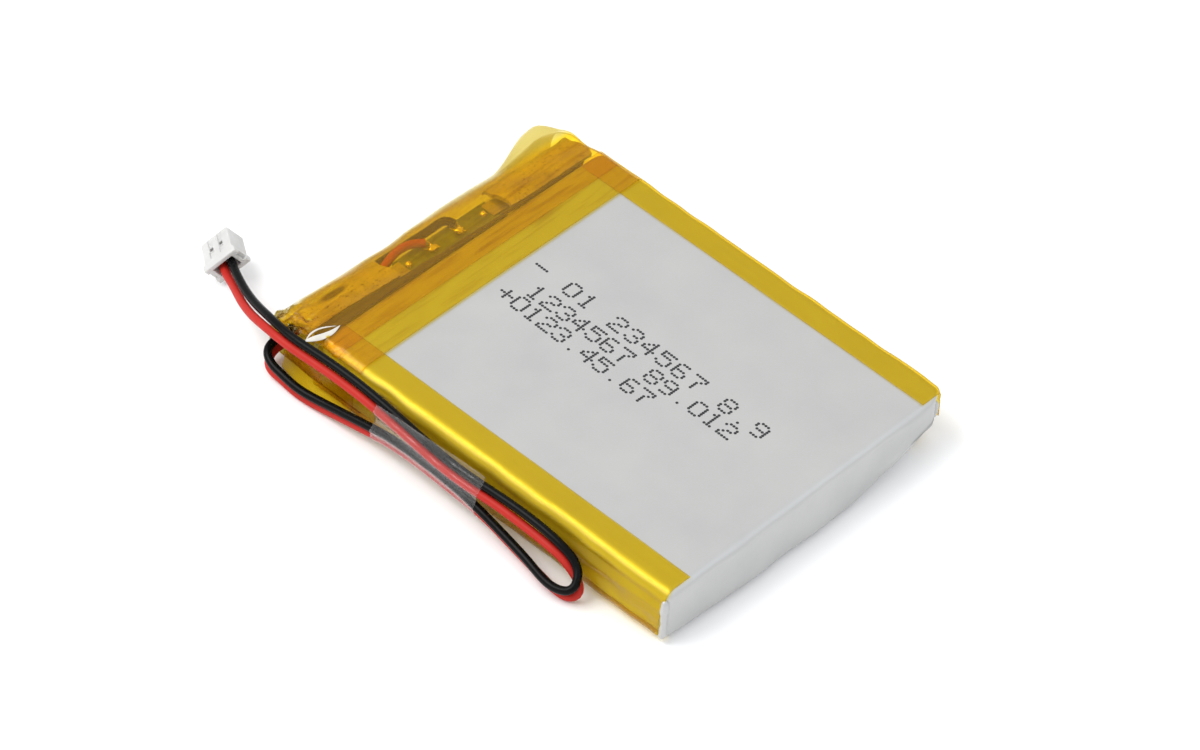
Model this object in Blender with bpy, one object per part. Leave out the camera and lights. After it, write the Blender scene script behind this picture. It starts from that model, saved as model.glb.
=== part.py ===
"""Pouch battery cell: a lithium polymer cell with its protection board, tape wrap, leads and connector.

Sizes below are millimetres in the cell's own frame: X across the cell, +Y towards the tab end, +Z up,
with the lowest tape on Z = 0.  MM turns them into metres, and the empty "cell_frame" moves the whole
assembly so that the middle of its underside is the origin.
"""
from math import cos, pi, radians, sin

import bmesh
import bpy
import numpy as np
from mathutils import Matrix, Vector

MM = 0.001

# --- driving dimensions -----------------------------------------------------------------------------
HEIGHT = 8.2                # over the tape
HALF_WIDTH = 25.0           # over the side tapes
BODY_START, BODY_END = -30.0, 26.6
TERRACE_END = 34.5          # outside of the end wrap
TAPE, TAPE_GAP = 0.05, 0.06     # one layer of polyimide tape, and the clearance beneath it
LAYER = TAPE + TAPE_GAP
LAMINATE = 0.15
EDGE_RADIUS = 1.0           # long edges of the cups, outside
SEAL_HALF_GAP = 0.35        # seal line to the middle of either laminate sheet
FLANGE_RISE = 1.4           # side seal, folded up against the wall
FLANGE_PITCH = 0.30         # wall to first folded sheet to second
TERRACE_DEPTH = 4.6
POUCH_FLAT_AREA = 2000.0    # more than any face of the pouch but its two flats
TAPED_MARGIN = 7.5          # edge of each flat that the tapes lie on
SWELL = 0.03                # the bare middle of each flat stands this much proud of its taped edge

POUCH_TOP = HEIGHT - 3 * LAYER
POUCH_BOTTOM = 3 * LAYER
SEAL_Z = (POUCH_TOP + POUCH_BOTTOM) / 2
WALL_X = HALF_WIDTH - LAYER - LAMINATE / 2 - 2 * FLANGE_PITCH
POUCH_START = BODY_START + LAMINATE / 2
POUCH_END = BODY_END - LAMINATE / 2
SHEET_TOP = POUCH_TOP - LAMINATE / 2
SHEET_BOTTOM = POUCH_BOTTOM + LAMINATE / 2

# electrode stack
ANODE_COUNT = 8
CATHODE_COUNT = ANODE_COUNT - 1
ELECTRODE = 0.25            # each plate stands for several coated foils
SEPARATOR = 0.06
STACK_GAP = 0.06
STACK_PITCH = ELECTRODE + SEPARATOR + 2 * STACK_GAP
ANODE_HALF_WIDTH, CATHODE_HALF_WIDTH = 22.6, 22.1
STACK_START, STACK_END = -27.3, 22.0
SEPARATOR_HALF_WIDTH = 23.3
LUG = 0.05                  # bare foil lug
LUG_PITCH = 0.11
LUG_WIDTH = 6.0
BINDING = 0.06

# tabs and terrace
POSITIVE_X, NEGATIVE_X = -17.3, 15.5
TAB_WIDTH, TAB = 5.0, 0.12
TAB_RETURN_Z = 6.0          # middle of the folded-back leg
SEALANT = 0.40
FOAM_TOP = 5.85
BOARD = {"x": (-7.0, 9.2), "y": (27.9, 31.0), "z": (5.60, 6.20)}
COMPONENTS = (              # name, middle x, length, depth, height
    ("protection_ic", -2.6, 2.9, 2.6, 0.95),
    ("mosfet_pair", 3.0, 3.0, 2.8, 0.95),
    ("filter_resistor", -5.4, 0.8, 1.6, 0.45),
    ("sense_resistor", 6.2, 0.8, 1.6, 0.45),
    ("filter_capacitor", 7.9, 0.8, 1.6, 0.80),
)
JOINT_RADIUS, JOINT_HEIGHT = 0.75, 0.65
JOINTS = {"solder_joint_red": (-1.6, 29.3), "solder_joint_black": (3.0, 29.3)}
CELL_JOINTS = {"solder_joint_positive": -5.7, "solder_joint_negative": 7.5}
NICKEL = 0.12

# leads and connector
LEAD = 1.1
LEAD_SPACING = 2.0          # distance between neighbouring points of a lead's tube
CONNECTOR_AT = (-19.95, 45.95, 3.25)      # middle of the housing's rear face
CONNECTOR_HEADING, CONNECTOR_ROLL = 36.0, 45.0
PIN_PITCH = 1.5
HOUSING = {"width": 4.3, "height": 3.0, "length": 4.6}
FLANGE = {"width": 5.0, "height": 3.1, "length": 0.9}
REAR_POCKET = {"width": 3.1, "height": 1.85, "depth": 1.5}
CAVITY = 1.0
TERMINAL, TERMINAL_LENGTH = 0.8, 2.6

# Hand-laid routes of the two leads, from the protection board to the connector.
BLACK_ROUTE = (
    (3.0, 30.25, 7.0), (2.6, 31.3, 6.9), (1.2, 31.92, 6.3), (-1.5, 32.5, 5.5), (-5.0, 33.0, 4.8),
    (-9.0, 33.2, 4.4), (-13.0, 33.2, 4.0), (-18.0, 33.15, 3.7), (-22.0, 33.1, 3.5), (-24.2, 33.25, 3.2),
    (-25.85, 33.1, 2.75), (-26.85, 31.9, 2.35), (-27.15, 29.8, 1.95), (-27.35, 26.8, 1.78),
    (-27.1, 23.2, 1.98), (-26.95, 19.5, 2.62), (-26.8, 15.5, 3.32), (-26.75, 11.5, 3.94),
    (-26.75, 6.5, 4.05), (-26.8, 1.5, 3.8), (-26.95, -3.0, 3.15), (-27.2, -7.5, 2.29),
    (-27.8, -11.8, 1.8), (-28.35, -14.2, 1.72), (-28.55, -16.0, 1.76), (-28.4, -17.4, 2.0),
    (-27.95, -18.3, 2.4), (-27.4, -18.5, 2.8), (-26.8, -18.3, 3.35), (-26.25, -17.85, 3.85),
    (-25.9, -17.2, 4.3), (-25.72, -16.4, 4.75), (-25.7, -15.4, 5.2), (-25.7, -14.0, 5.6),
    (-25.69, -12.0, 5.92), (-25.68, -9.5, 6.1), (-25.75, -5.0, 6.1), (-25.93, 1.0, 5.95),
    (-25.92, 7.0, 6.37), (-25.8, 13.0, 7.07), (-25.75, 19.0, 7.54), (-25.81, 25.0, 7.5),
    (-25.79, 30.0, 7.25), (-24.96, 33.9, 6.62), (-23.73, 37.4, 5.52), (-22.17, 40.9, 4.6),
    (-20.66, 43.8, 4.15), (-19.28, 46.07, 3.89), (-18.75, 46.8, 3.89),
)
RED_ROUTE = (
    (-2.1, 30.2, 7.0), (-3.4, 31.2, 6.9), (-5.4, 31.85, 6.4), (-7.6, 31.85, 5.0), (-9.6, 31.85, 3.5),
    (-12.0, 32.1, 2.5), (-16.0, 32.5, 2.2), (-20.0, 32.8, 2.1), (-23.0, 33.0, 1.9), (-25.2, 33.1, 1.45),
    (-26.5, 32.2, 1.05), (-26.95, 29.8, 0.78), (-27.1, 26.8, 0.6), (-26.9, 23.2, 0.82),
    (-26.75, 19.5, 1.48), (-26.6, 15.5, 2.19), (-26.55, 11.5, 2.81), (-26.55, 6.5, 2.92),
    (-26.55, 1.5, 2.64), (-26.46, -3.0, 2.07), (-26.7, -7.5, 1.23), (-27.23, -11.8, 0.8),
    (-27.65, -14.6, 0.66), (-27.8, -16.3, 0.62), (-27.74, -17.4, 0.66), (-27.45, -18.3, 0.88),
    (-26.97, -18.72, 1.28), (-26.55, -18.6, 1.8), (-26.3, -18.2, 2.25), (-26.1, -17.6, 2.65),
    (-26.05, -16.9, 3.1), (-26.1, -16.1, 3.65), (-26.12, -15.05, 4.14), (-26.2, -13.85, 4.48),
    (-26.2, -12.35, 4.67), (-26.22, -10.5, 4.82), (-26.33, -8.0, 5.05), (-26.4, -5.0, 5.14),
    (-26.58, 1.0, 4.99), (-26.57, 7.0, 5.41), (-26.45, 13.0, 6.11), (-26.4, 19.0, 6.58),
    (-26.46, 25.0, 6.54), (-26.44, 30.0, 6.29), (-26.0, 33.5, 5.95), (-25.02, 36.8, 5.0),
    (-23.36, 40.3, 3.9), (-21.46, 43.6, 3.0), (-19.92, 46.53, 2.61), (-19.39, 47.26, 2.61),
)

COLOURS = {     # base colour, roughness, metallic
    "laminate": ((0.60, 0.60, 0.59), 0.42, 0.7),
    "anode": ((0.06, 0.06, 0.065), 0.85, 0.0),
    "cathode": ((0.03, 0.03, 0.03), 0.80, 0.0),
    "separator": ((0.90, 0.90, 0.88), 0.55, 0.0),
    "binding_tape": ((0.25, 0.55, 0.40), 0.40, 0.0),
    "aluminium": ((0.80, 0.81, 0.82), 0.30, 1.0),
    "nickel": ((0.66, 0.63, 0.58), 0.28, 1.0),
    "sealant": ((0.92, 0.92, 0.86), 0.50, 0.0),
    "foam": ((0.08, 0.08, 0.08), 0.95, 0.0),
    "paper": ((0.86, 0.84, 0.78), 0.90, 0.0),
    "board": ((0.02, 0.13, 0.05), 0.45, 0.0),
    "chip": ((0.02, 0.02, 0.02), 0.50, 0.0),
    "ceramic": ((0.35, 0.22, 0.12), 0.50, 0.0),
    "solder": ((0.72, 0.72, 0.70), 0.25, 1.0),
    "amber_tape": ((0.80, 0.42, 0.02), 0.20, 0.0),
    "clear_tape": ((0.85, 0.85, 0.85), 0.15, 0.0),
    "red_pvc": ((0.75, 0.03, 0.02), 0.35, 0.0),
    "black_pvc": ((0.01, 0.01, 0.012), 0.35, 0.0),
    "nylon": ((0.85, 0.85, 0.83), 0.40, 0.0),
    "tin": ((0.75, 0.75, 0.76), 0.25, 1.0),
}


def material(kind):
    """The shared material of one kind of piece."""
    if kind in bpy.data.materials:
        return bpy.data.materials[kind]
    colour, roughness, metallic = COLOURS[kind]
    made = bpy.data.materials.new(kind)
    made.use_nodes = True
    shader = made.node_tree.nodes["Principled BSDF"]
    shader.inputs["Base Color"].default_value = (*colour, 1.0)
    shader.inputs["Roughness"].default_value = roughness
    shader.inputs["Metallic"].default_value = metallic
    return made


def place(name, data, kind):
    """Put a mesh or curve into the scene as one named piece of the cell."""
    piece = bpy.data.objects.new(name, data)
    data.materials.append(material(kind))
    bpy.context.collection.objects.link(piece)
    piece.parent = bpy.data.objects["cell_frame"]
    return piece


def piece_from_bmesh(name, bm, kind, smooth_under=None):
    bmesh.ops.recalc_face_normals(bm, faces=bm.faces)
    bmesh.ops.scale(bm, vec=(MM, MM, MM), verts=bm.verts)
    mesh = bpy.data.meshes.new(name)
    bm.to_mesh(mesh)
    bm.free()
    if smooth_under:
        mesh.shade_smooth()
        mesh.set_sharp_from_angle(angle=radians(smooth_under))
    return place(name, mesh, kind)


def prism(name, outline, span, plane, kind):
    """Extrude a closed outline along the axis its plane leaves out, from span[0] to span[1]."""
    order = {"XY": (0, 1, 2), "XZ": (0, 2, 1), "YZ": (1, 2, 0)}[plane]
    bm = bmesh.new()
    rings = []
    for depth in span:
        ring = []
        for a, b in outline:
            spot = [0.0, 0.0, 0.0]
            spot[order[0]], spot[order[1]], spot[order[2]] = a, b, depth
            ring.append(bm.verts.new(spot))
        rings.append(ring)
    for ring in rings:
        bm.faces.new(ring)
    bmesh.ops.bridge_loops(bm, edges=[edge for edge in bm.edges])
    bmesh.ops.triangulate(bm, faces=[face for face in bm.faces if len(face.verts) > 4])
    return piece_from_bmesh(name, bm, kind)


def box(name, low, high, kind, bevel=0.0):
    bm = bmesh.new()
    bmesh.ops.create_cube(bm, size=1.0)
    size = [b - a for a, b in zip(low, high)]
    middle = [(a + b) / 2 for a, b in zip(low, high)]
    bmesh.ops.transform(bm, matrix=Matrix.LocRotScale(middle, None, size), verts=bm.verts)
    if bevel:
        bmesh.ops.bevel(bm, geom=list(bm.edges), offset=bevel, segments=1, affect="EDGES")
    return piece_from_bmesh(name, bm, kind)


def rounded(corners, segments=3):
    """A polyline whose corners (x, y, radius) are rounded; radius 0 keeps a corner sharp."""
    points = []
    for index, (x, y, radius) in enumerate(corners):
        here = Vector((x, y))
        if not radius:
            points.append(here)
            continue
        before = (Vector(corners[index - 1][:2]) - here).normalized()
        after = (Vector(corners[index + 1][:2]) - here).normalized()
        opening = before.angle(after)
        reach = radius / np.tan(opening / 2)
        centre = here + (before + after).normalized() * (radius / sin(opening / 2))
        start = here + before * reach - centre
        sweep = start.angle_signed(here + after * reach - centre)
        for step in range(segments + 1):
            turned = start.copy()
            turned.rotate(Matrix.Rotation(-sweep * step / segments, 2))
            points.append(centre + turned)
    return points


def ribbon(path, thickness):
    """The closed outline of a thin sheet whose middle follows the path."""
    path = [Vector(point) for point in path]
    sides = ([], [])
    for index, here in enumerate(path):
        ahead = (path[min(index + 1, len(path) - 1)] - here).normalized()
        behind = (here - path[max(index - 1, 0)]).normalized()
        along = (ahead + behind).normalized()
        across = Vector((-along.y, along.x))
        reach = thickness / 2
        if ahead.length and behind.length:
            reach /= max(cos(ahead.angle(behind) / 2), 0.5)
        sides[0].append(here + across * reach)
        sides[1].append(here - across * reach)
    return sides[0] + sides[1][::-1]


def smooth_route(route, spacing):
    """Points a spacing apart on the natural cubic spline through a route's points."""
    knots = np.array(route, dtype=float)
    gaps = np.linalg.norm(np.diff(knots, axis=0), axis=1)
    at = np.concatenate(([0.0], np.cumsum(gaps)))
    system = np.eye(len(knots))
    right = np.zeros_like(knots)
    for i in range(1, len(knots) - 1):
        system[i, i - 1:i + 2] = gaps[i - 1], 2 * (gaps[i - 1] + gaps[i]), gaps[i]
        right[i] = 6 * ((knots[i + 1] - knots[i]) / gaps[i] - (knots[i] - knots[i - 1]) / gaps[i - 1])
    bend = np.linalg.solve(system, right)
    fine = np.linspace(0.0, at[-1], 2000)
    span = np.clip(np.searchsorted(at, fine) - 1, 0, len(gaps) - 1)
    width = gaps[span][:, None]
    left, gone = (at[span + 1] - fine)[:, None], (fine - at[span])[:, None]
    curve = (bend[span] * left**3 + bend[span + 1] * gone**3) / (6 * width)
    curve += (knots[span] / width - bend[span] * width / 6) * left
    curve += (knots[span + 1] / width - bend[span + 1] * width / 6) * gone
    run = np.concatenate(([0.0], np.cumsum(np.linalg.norm(np.diff(curve, axis=0), axis=1))))
    count = int(round(run[-1] / spacing)) + 1
    even = np.linspace(0.0, run[-1], count)
    return np.stack([np.interp(even, run, curve[:, axis]) for axis in range(3)], axis=1)


def pouch():
    """One aluminium laminate sheet with two drawn cups, folded over at the closed end.

    The cups face each other; their rims make the side seals, folded up against the walls, and the
    flat terrace that the tabs cross.
    """
    bm = bmesh.new()
    upper, lower = SEAL_Z + SEAL_HALF_GAP, SEAL_Z - SEAL_HALF_GAP
    flange_top = upper + FLANGE_RISE
    terrace_end = POUCH_END + TERRACE_DEPTH
    folds = {}
    for level, rim, sheet in ((SHEET_TOP, upper, 1), (SHEET_BOTTOM, lower, 2)):
        corners = {}
        for x in (-WALL_X, WALL_X):
            for y in (POUCH_START, POUCH_END):
                corners[x, y] = [bm.verts.new((x, y, level)), bm.verts.new((x, y, rim))]
        face = [corners[key][0] for key in
                ((-WALL_X, POUCH_START), (WALL_X, POUCH_START), (WALL_X, POUCH_END), (-WALL_X, POUCH_END))]
        bm.faces.new(face)
        for x in (-WALL_X, WALL_X):
            start, end = corners[x, POUCH_START], corners[x, POUCH_END]
            bm.faces.new((start[0], start[1], end[1], end[0]))
            flange_x = x + (FLANGE_PITCH * sheet if x > 0 else -FLANGE_PITCH * sheet)
            foot = [bm.verts.new((flange_x, y, rim)) for y in (POUCH_START, POUCH_END)]
            tip = [bm.verts.new((flange_x, y, flange_top)) for y in (POUCH_START, POUCH_END)]
            bm.faces.new((start[1], foot[0], foot[1], end[1]))
            bm.faces.new((foot[0], tip[0], tip[1], foot[1]))
        near, far = corners[-WALL_X, POUCH_END], corners[WALL_X, POUCH_END]
        bm.faces.new((near[0], near[1], far[1], far[0]))
        brim = [bm.verts.new((x, terrace_end, rim)) for x in (-WALL_X, WALL_X)]
        bm.faces.new((near[1], brim[0], brim[1], far[1]))
        start = [corners[x, POUCH_START] for x in (-WALL_X, WALL_X)]
        bm.faces.new((start[0][0], start[1][0], start[1][1], start[0][1]))
        folds[sheet] = [start[0][1], start[1][1]]
    bm.faces.new((*folds[1], *folds[2][::-1]))
    bmesh.ops.recalc_face_normals(bm, faces=bm.faces)
    faces_up_or_down = [face for face in bm.faces if max(abs(v.co.z - SEAL_Z) for v in face.verts)
                        - min(abs(v.co.z - SEAL_Z) for v in face.verts) < 1e-4
                        and abs(face.verts[0].co.z - SEAL_Z) > FLANGE_RISE + SEAL_HALF_GAP + 0.1]
    rims = {edge for face in faces_up_or_down for edge in face.edges}
    bmesh.ops.bevel(bm, geom=list(rims), offset=EDGE_RADIUS, segments=3, profile=0.5, affect="EDGES")
    flats = [face for face in bm.faces if face.calc_area() > POUCH_FLAT_AREA and abs(face.normal.z) > 0.99]
    bmesh.ops.inset_individual(bm, faces=flats, thickness=TAPED_MARGIN, depth=SWELL, use_even_offset=True)
    piece = piece_from_bmesh("pouch_laminate", bm, "laminate", smooth_under=50)
    thicken = piece.modifiers.new("laminate", "SOLIDIFY")
    thicken.thickness = LAMINATE * MM
    thicken.offset = 0.0
    thicken.use_even_offset = True
    return piece


def plate(name, half_width, level, lug_x, weld_level, kind):
    """One electrode plate with the foil lug that bends to the tab's weld."""
    lug_left, lug_right = lug_x - LUG_WIDTH / 2, lug_x + LUG_WIDTH / 2
    bottom, top = level - ELECTRODE / 2, level + ELECTRODE / 2
    bm = bmesh.new()
    outline = [(-half_width, STACK_START), (half_width, STACK_START), (half_width, STACK_END),
               (lug_right, STACK_END), (lug_left, STACK_END), (-half_width, STACK_END)]
    rings = [[bm.verts.new((x, y, z)) for x, y in outline] for z in (bottom, top)]
    bm.faces.new(rings[0])
    bm.faces.new(rings[1])
    root = None
    for i in range(len(outline)):
        j = (i + 1) % len(outline)
        side = bm.faces.new((rings[0][i], rings[0][j], rings[1][j], rings[1][i]))
        if i == 3:
            root = side
    stations = ((STACK_END + 0.4, level), (STACK_END + 0.9, level),
                (STACK_END + 2.7, weld_level), (BODY_END - 0.7, weld_level))
    bm.faces.remove(root)
    ring = [rings[0][4], rings[0][3], rings[1][3], rings[1][4]]
    for y, z in stations:
        following = [bm.verts.new((lug_left, y, z - LUG / 2)), bm.verts.new((lug_right, y, z - LUG / 2)),
                     bm.verts.new((lug_right, y, z + LUG / 2)), bm.verts.new((lug_left, y, z + LUG / 2))]
        for i in range(4):
            j = (i + 1) % 4
            bm.faces.new((ring[i], ring[j], following[j], following[i]))
        ring = following
    bm.faces.new(ring)
    return piece_from_bmesh(name, bm, kind)


def electrode_stack():
    """Anodes and cathodes in turn, one Z-folded separator between them, and its binding tapes."""
    plates = ANODE_COUNT + CATHODE_COUNT
    lowest = SEAL_Z - (plates - 1) / 2 * STACK_PITCH
    lug_top = SEAL_Z - TAB / 2 - LUG_PITCH
    for index in range(plates):
        level = lowest + index * STACK_PITCH
        order = index // 2
        if index % 2 == 0:
            weld = lug_top - (ANODE_COUNT - 1 - order) * LUG_PITCH
            plate(f"anode_sheet_{order + 1}", ANODE_HALF_WIDTH, level, NEGATIVE_X, weld, "anode")
        else:
            weld = lug_top - (CATHODE_COUNT - 1 - order) * LUG_PITCH
            plate(f"cathode_sheet_{order + 1}", CATHODE_HALF_WIDTH, level, POSITIVE_X, weld, "cathode")

    path = []
    for layer in range(plates + 1):
        z = lowest + (layer - 0.5) * STACK_PITCH
        side = 1 if layer % 2 == 0 else -1
        reach = SEPARATOR_HALF_WIDTH - STACK_PITCH / 2
        if layer:
            path.append((-side * reach, z))
        else:
            path.append((-side * ANODE_HALF_WIDTH, z))
        if layer < plates:
            path.append((side * reach, z))
            path.append((side * SEPARATOR_HALF_WIDTH, z + STACK_PITCH / 2))
        else:
            path.append((side * ANODE_HALF_WIDTH, z))
    prism("separator", ribbon(path, SEPARATOR), (STACK_START - 0.5, STACK_END + 0.3), "XZ", "separator")

    out = SEPARATOR_HALF_WIDTH + SEPARATOR + 0.1
    up = (plates / 2) * STACK_PITCH + SEPARATOR / 2 + STACK_GAP
    for number, middle in enumerate((-20.0, 12.0), start=1):
        binding(f"stack_binding_tape_{number}", out, up, middle)


def binding(name, out, up, middle):
    """A band of tape once round the stack, its end left just short of its start."""
    path = rounded([(0.4, SEAL_Z + up, 0), (out, SEAL_Z + up, 0.3), (out, SEAL_Z - up, 0.3),
                    (-out, SEAL_Z - up, 0.3), (-out, SEAL_Z + up, 0.3), (-0.4, SEAL_Z + up, 0)])
    prism(name, ribbon(path, BINDING), (middle - 4.0, middle + 4.0), "XZ", "binding_tape")


def tab(name, x, kind):
    """A flat tab from the foil lugs out through the terrace, folded back over the foam."""
    fold_radius = (TAB_RETURN_Z - SEAL_Z) / 2
    fold_y = POUCH_END + TERRACE_DEPTH + 0.25
    path = [(STACK_END + 2.9, SEAL_Z), (fold_y, SEAL_Z)]
    for step in range(1, 6):
        turn = pi * step / 6
        path.append((fold_y + fold_radius * sin(turn), SEAL_Z + fold_radius * (1 - cos(turn))))
    path += [(fold_y, TAB_RETURN_Z), (BOARD["y"][0] + 0.3, TAB_RETURN_Z)]
    half = TAB_WIDTH / 2
    prism(name, ribbon(path, TAB), (x - half, x + half), "YZ", kind)


def tab_sealant(name, x):
    """The polymer sleeve that seals a tab to the laminate: a flat collar round the tab."""
    outer_x, outer_z = TAB_WIDTH / 2 + 1.2, SEALANT / 2
    inner_x, inner_z = TAB_WIDTH / 2 + 0.08, TAB / 2 + 0.05
    bm = bmesh.new()
    rings = []
    for y in (POUCH_END + 0.3, POUCH_END + TERRACE_DEPTH + 0.1):
        for half_x, half_z in ((outer_x, outer_z), (inner_x, inner_z)):
            rings.append([bm.verts.new((x + sx * half_x, y, SEAL_Z + sz * half_z))
                          for sx, sz in ((-1, -1), (1, -1), (1, 1), (-1, 1))])
    for first, second in ((0, 1), (2, 3), (0, 2), (1, 3)):
        for i in range(4):
            j = (i + 1) % 4
            bm.faces.new((rings[first][i], rings[first][j], rings[second][j], rings[second][i]))
    piece_from_bmesh(name, bm, "sealant")


def dome(name, x, y, base, radius, height):
    """A solder joint: a low cone-footed dome on a pad."""
    bm = bmesh.new()
    sides, profile = 10, ((1.0, 0.0), (0.92, 0.25), (0.70, 0.62), (0.38, 0.92))
    rings = [[bm.verts.new((x + radius * r * cos(2 * pi * k / sides), y + radius * r * sin(2 * pi * k / sides),
                            base + height * h)) for k in range(sides)] for r, h in profile]
    top = bm.verts.new((x, y, base + height))
    bm.faces.new(rings[0])
    for lower, upper in zip(rings, rings[1:]):
        for k in range(sides):
            bm.faces.new((lower[k], lower[(k + 1) % sides], upper[(k + 1) % sides], upper[k]))
    for k in range(sides):
        bm.faces.new((rings[-1][k], rings[-1][(k + 1) % sides], top))
    piece_from_bmesh(name, bm, "solder", smooth_under=60)


def terrace_parts():
    """What lies on the terrace: foam, board with its components, nickel strips, solder, paper."""
    terrace_top = SEAL_Z + SEAL_HALF_GAP + LAMINATE / 2
    (x0, x1), (y0, y1), (z0, z1) = BOARD["x"], BOARD["y"], BOARD["z"]
    foam_y = (POUCH_END + 0.9, POUCH_END + TERRACE_DEPTH - 0.3)
    box("terrace_foam_near", (-22.5, foam_y[0], terrace_top + 0.1), (x0 - 0.8, foam_y[1], FOAM_TOP), "foam")
    box("terrace_foam_far", (x1 + 0.8, foam_y[0], terrace_top + 0.1), (22.5, foam_y[1], FOAM_TOP), "foam")
    box("protection_board", (x0, y0, z0), (x1, y1, z1), "board")
    middle_y = (y0 + y1) / 2
    for name, x, length, depth, height in COMPONENTS:
        top = z0 - 0.04
        kind = "ceramic" if name == "filter_capacitor" else "chip"
        box(name, (x - length / 2, middle_y - depth / 2, top - height),
            (x + length / 2, middle_y + depth / 2, top), kind, bevel=0.08)
    for name, (x, y) in JOINTS.items():
        dome(name, x, y, z1 + 0.04, JOINT_RADIUS, JOINT_HEIGHT)
    for name, x in CELL_JOINTS.items():
        dome(name, x, middle_y, z1 + 0.04, 0.55, 0.45)
    strip_y = (middle_y - 1.1, middle_y + 1.1)
    low, high = TAB_RETURN_Z + TAB / 2 + NICKEL / 2 + 0.05, z1 + NICKEL / 2 + 0.05
    near = [(POSITIVE_X - TAB_WIDTH / 2 + 0.4, low), (x0 - 1.6, low), (x0 - 0.5, high),
            (CELL_JOINTS["solder_joint_positive"] - 0.7, high)]
    far = [(CELL_JOINTS["solder_joint_negative"] + 0.7, high), (x1 + 0.5, high), (x1 + 1.6, low),
           (NEGATIVE_X + TAB_WIDTH / 2 - 0.4, low)]
    prism("positive_nickel_strip", ribbon(near, NICKEL), strip_y, "XZ", "nickel")
    prism("negative_nickel_strip", ribbon(far, NICKEL), strip_y, "XZ", "nickel")
    paper_y = BODY_END + 0.35
    paper = [(22.6, paper_y), (-22.2, paper_y), (-23.1, paper_y + 0.25), (-23.7, paper_y + 0.9)]
    prism("insulation_paper", ribbon(paper, 0.12), (terrace_top + 0.15, 7.3), "XY", "paper")


def tapes():
    """Polyimide tapes: one round each long side, two layers round the terrace, one at the lead exit."""
    wall = HALF_WIDTH - TAPE / 2
    top, bottom = POUCH_TOP + LAYER - TAPE / 2, POUCH_BOTTOM - LAYER + TAPE / 2
    radius = EDGE_RADIUS
    for name, side, lap in (("side_tape_near", -1, 20.2), ("side_tape_far", 1, 21.2)):
        path = rounded([(side * lap, top, 0), (side * wall, top, radius),
                        (side * wall, bottom, radius), (side * lap, bottom, 0)])
        prism(name, ribbon(path, TAPE), (BODY_START + 0.4, BODY_END - 0.2), "XZ", "amber_tape")
    for name, lap, layer in (("terrace_tape_inner", 23.2, 2), ("terrace_tape_outer", 19.6, 3)):
        high, low = POUCH_TOP + layer * LAYER - TAPE / 2, POUCH_BOTTOM - layer * LAYER + TAPE / 2
        end = TERRACE_END - (3 - layer) * LAYER - TAPE / 2
        drop = (3 - layer) * LAYER
        path = rounded([(lap, high, 0), (BODY_END + 0.3, high, 0), (31.9, 7.86 - drop, 1.0),
                        (end, 4.7, 2.0), (end, 0.9 + drop, 0.7), (BODY_END + 0.6, low, 0), (lap, low, 0)])
        half = HALF_WIDTH - 0.5
        prism(name, ribbon(path, TAPE), (-half, half), "YZ", "amber_tape")
    flap = rounded([(-25.08, 5.0, 0), (-25.15, 2.4, 0), (-25.5, 1.5, 0.6), (-26.3, 0.5, 0)], segments=2)
    prism("lead_exit_tape", ribbon(flap, TAPE), (22.5, 31.0), "XZ", "amber_tape")
    hold = rounded([(-24.3, 8.12, 0), (-25.9, 8.1, 0.6), (-27.85, 6.9, 0.9), (-27.85, 0.9, 0.8),
                    (-25.9, 0.6, 0.4), (-25.08, 0.6, 0)])
    prism("lead_retaining_tape", ribbon(hold, TAPE), (-2.2, 14.8), "XZ", "clear_tape")


def lead(name, route, kind):
    """One insulated lead as a tube along its route."""
    points = smooth_route(route, LEAD_SPACING)
    curve = bpy.data.curves.new(name, "CURVE")
    curve.dimensions = "3D"
    curve.bevel_depth = LEAD / 2 * MM
    curve.bevel_resolution = 2
    curve.use_fill_caps = True
    spline = curve.splines.new("POLY")
    spline.points.add(len(points) - 1)
    for spot, (x, y, z) in zip(spline.points, points):
        spot.co = (x * MM, y * MM, z * MM, 1.0)
    return place(name, curve, kind)


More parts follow.
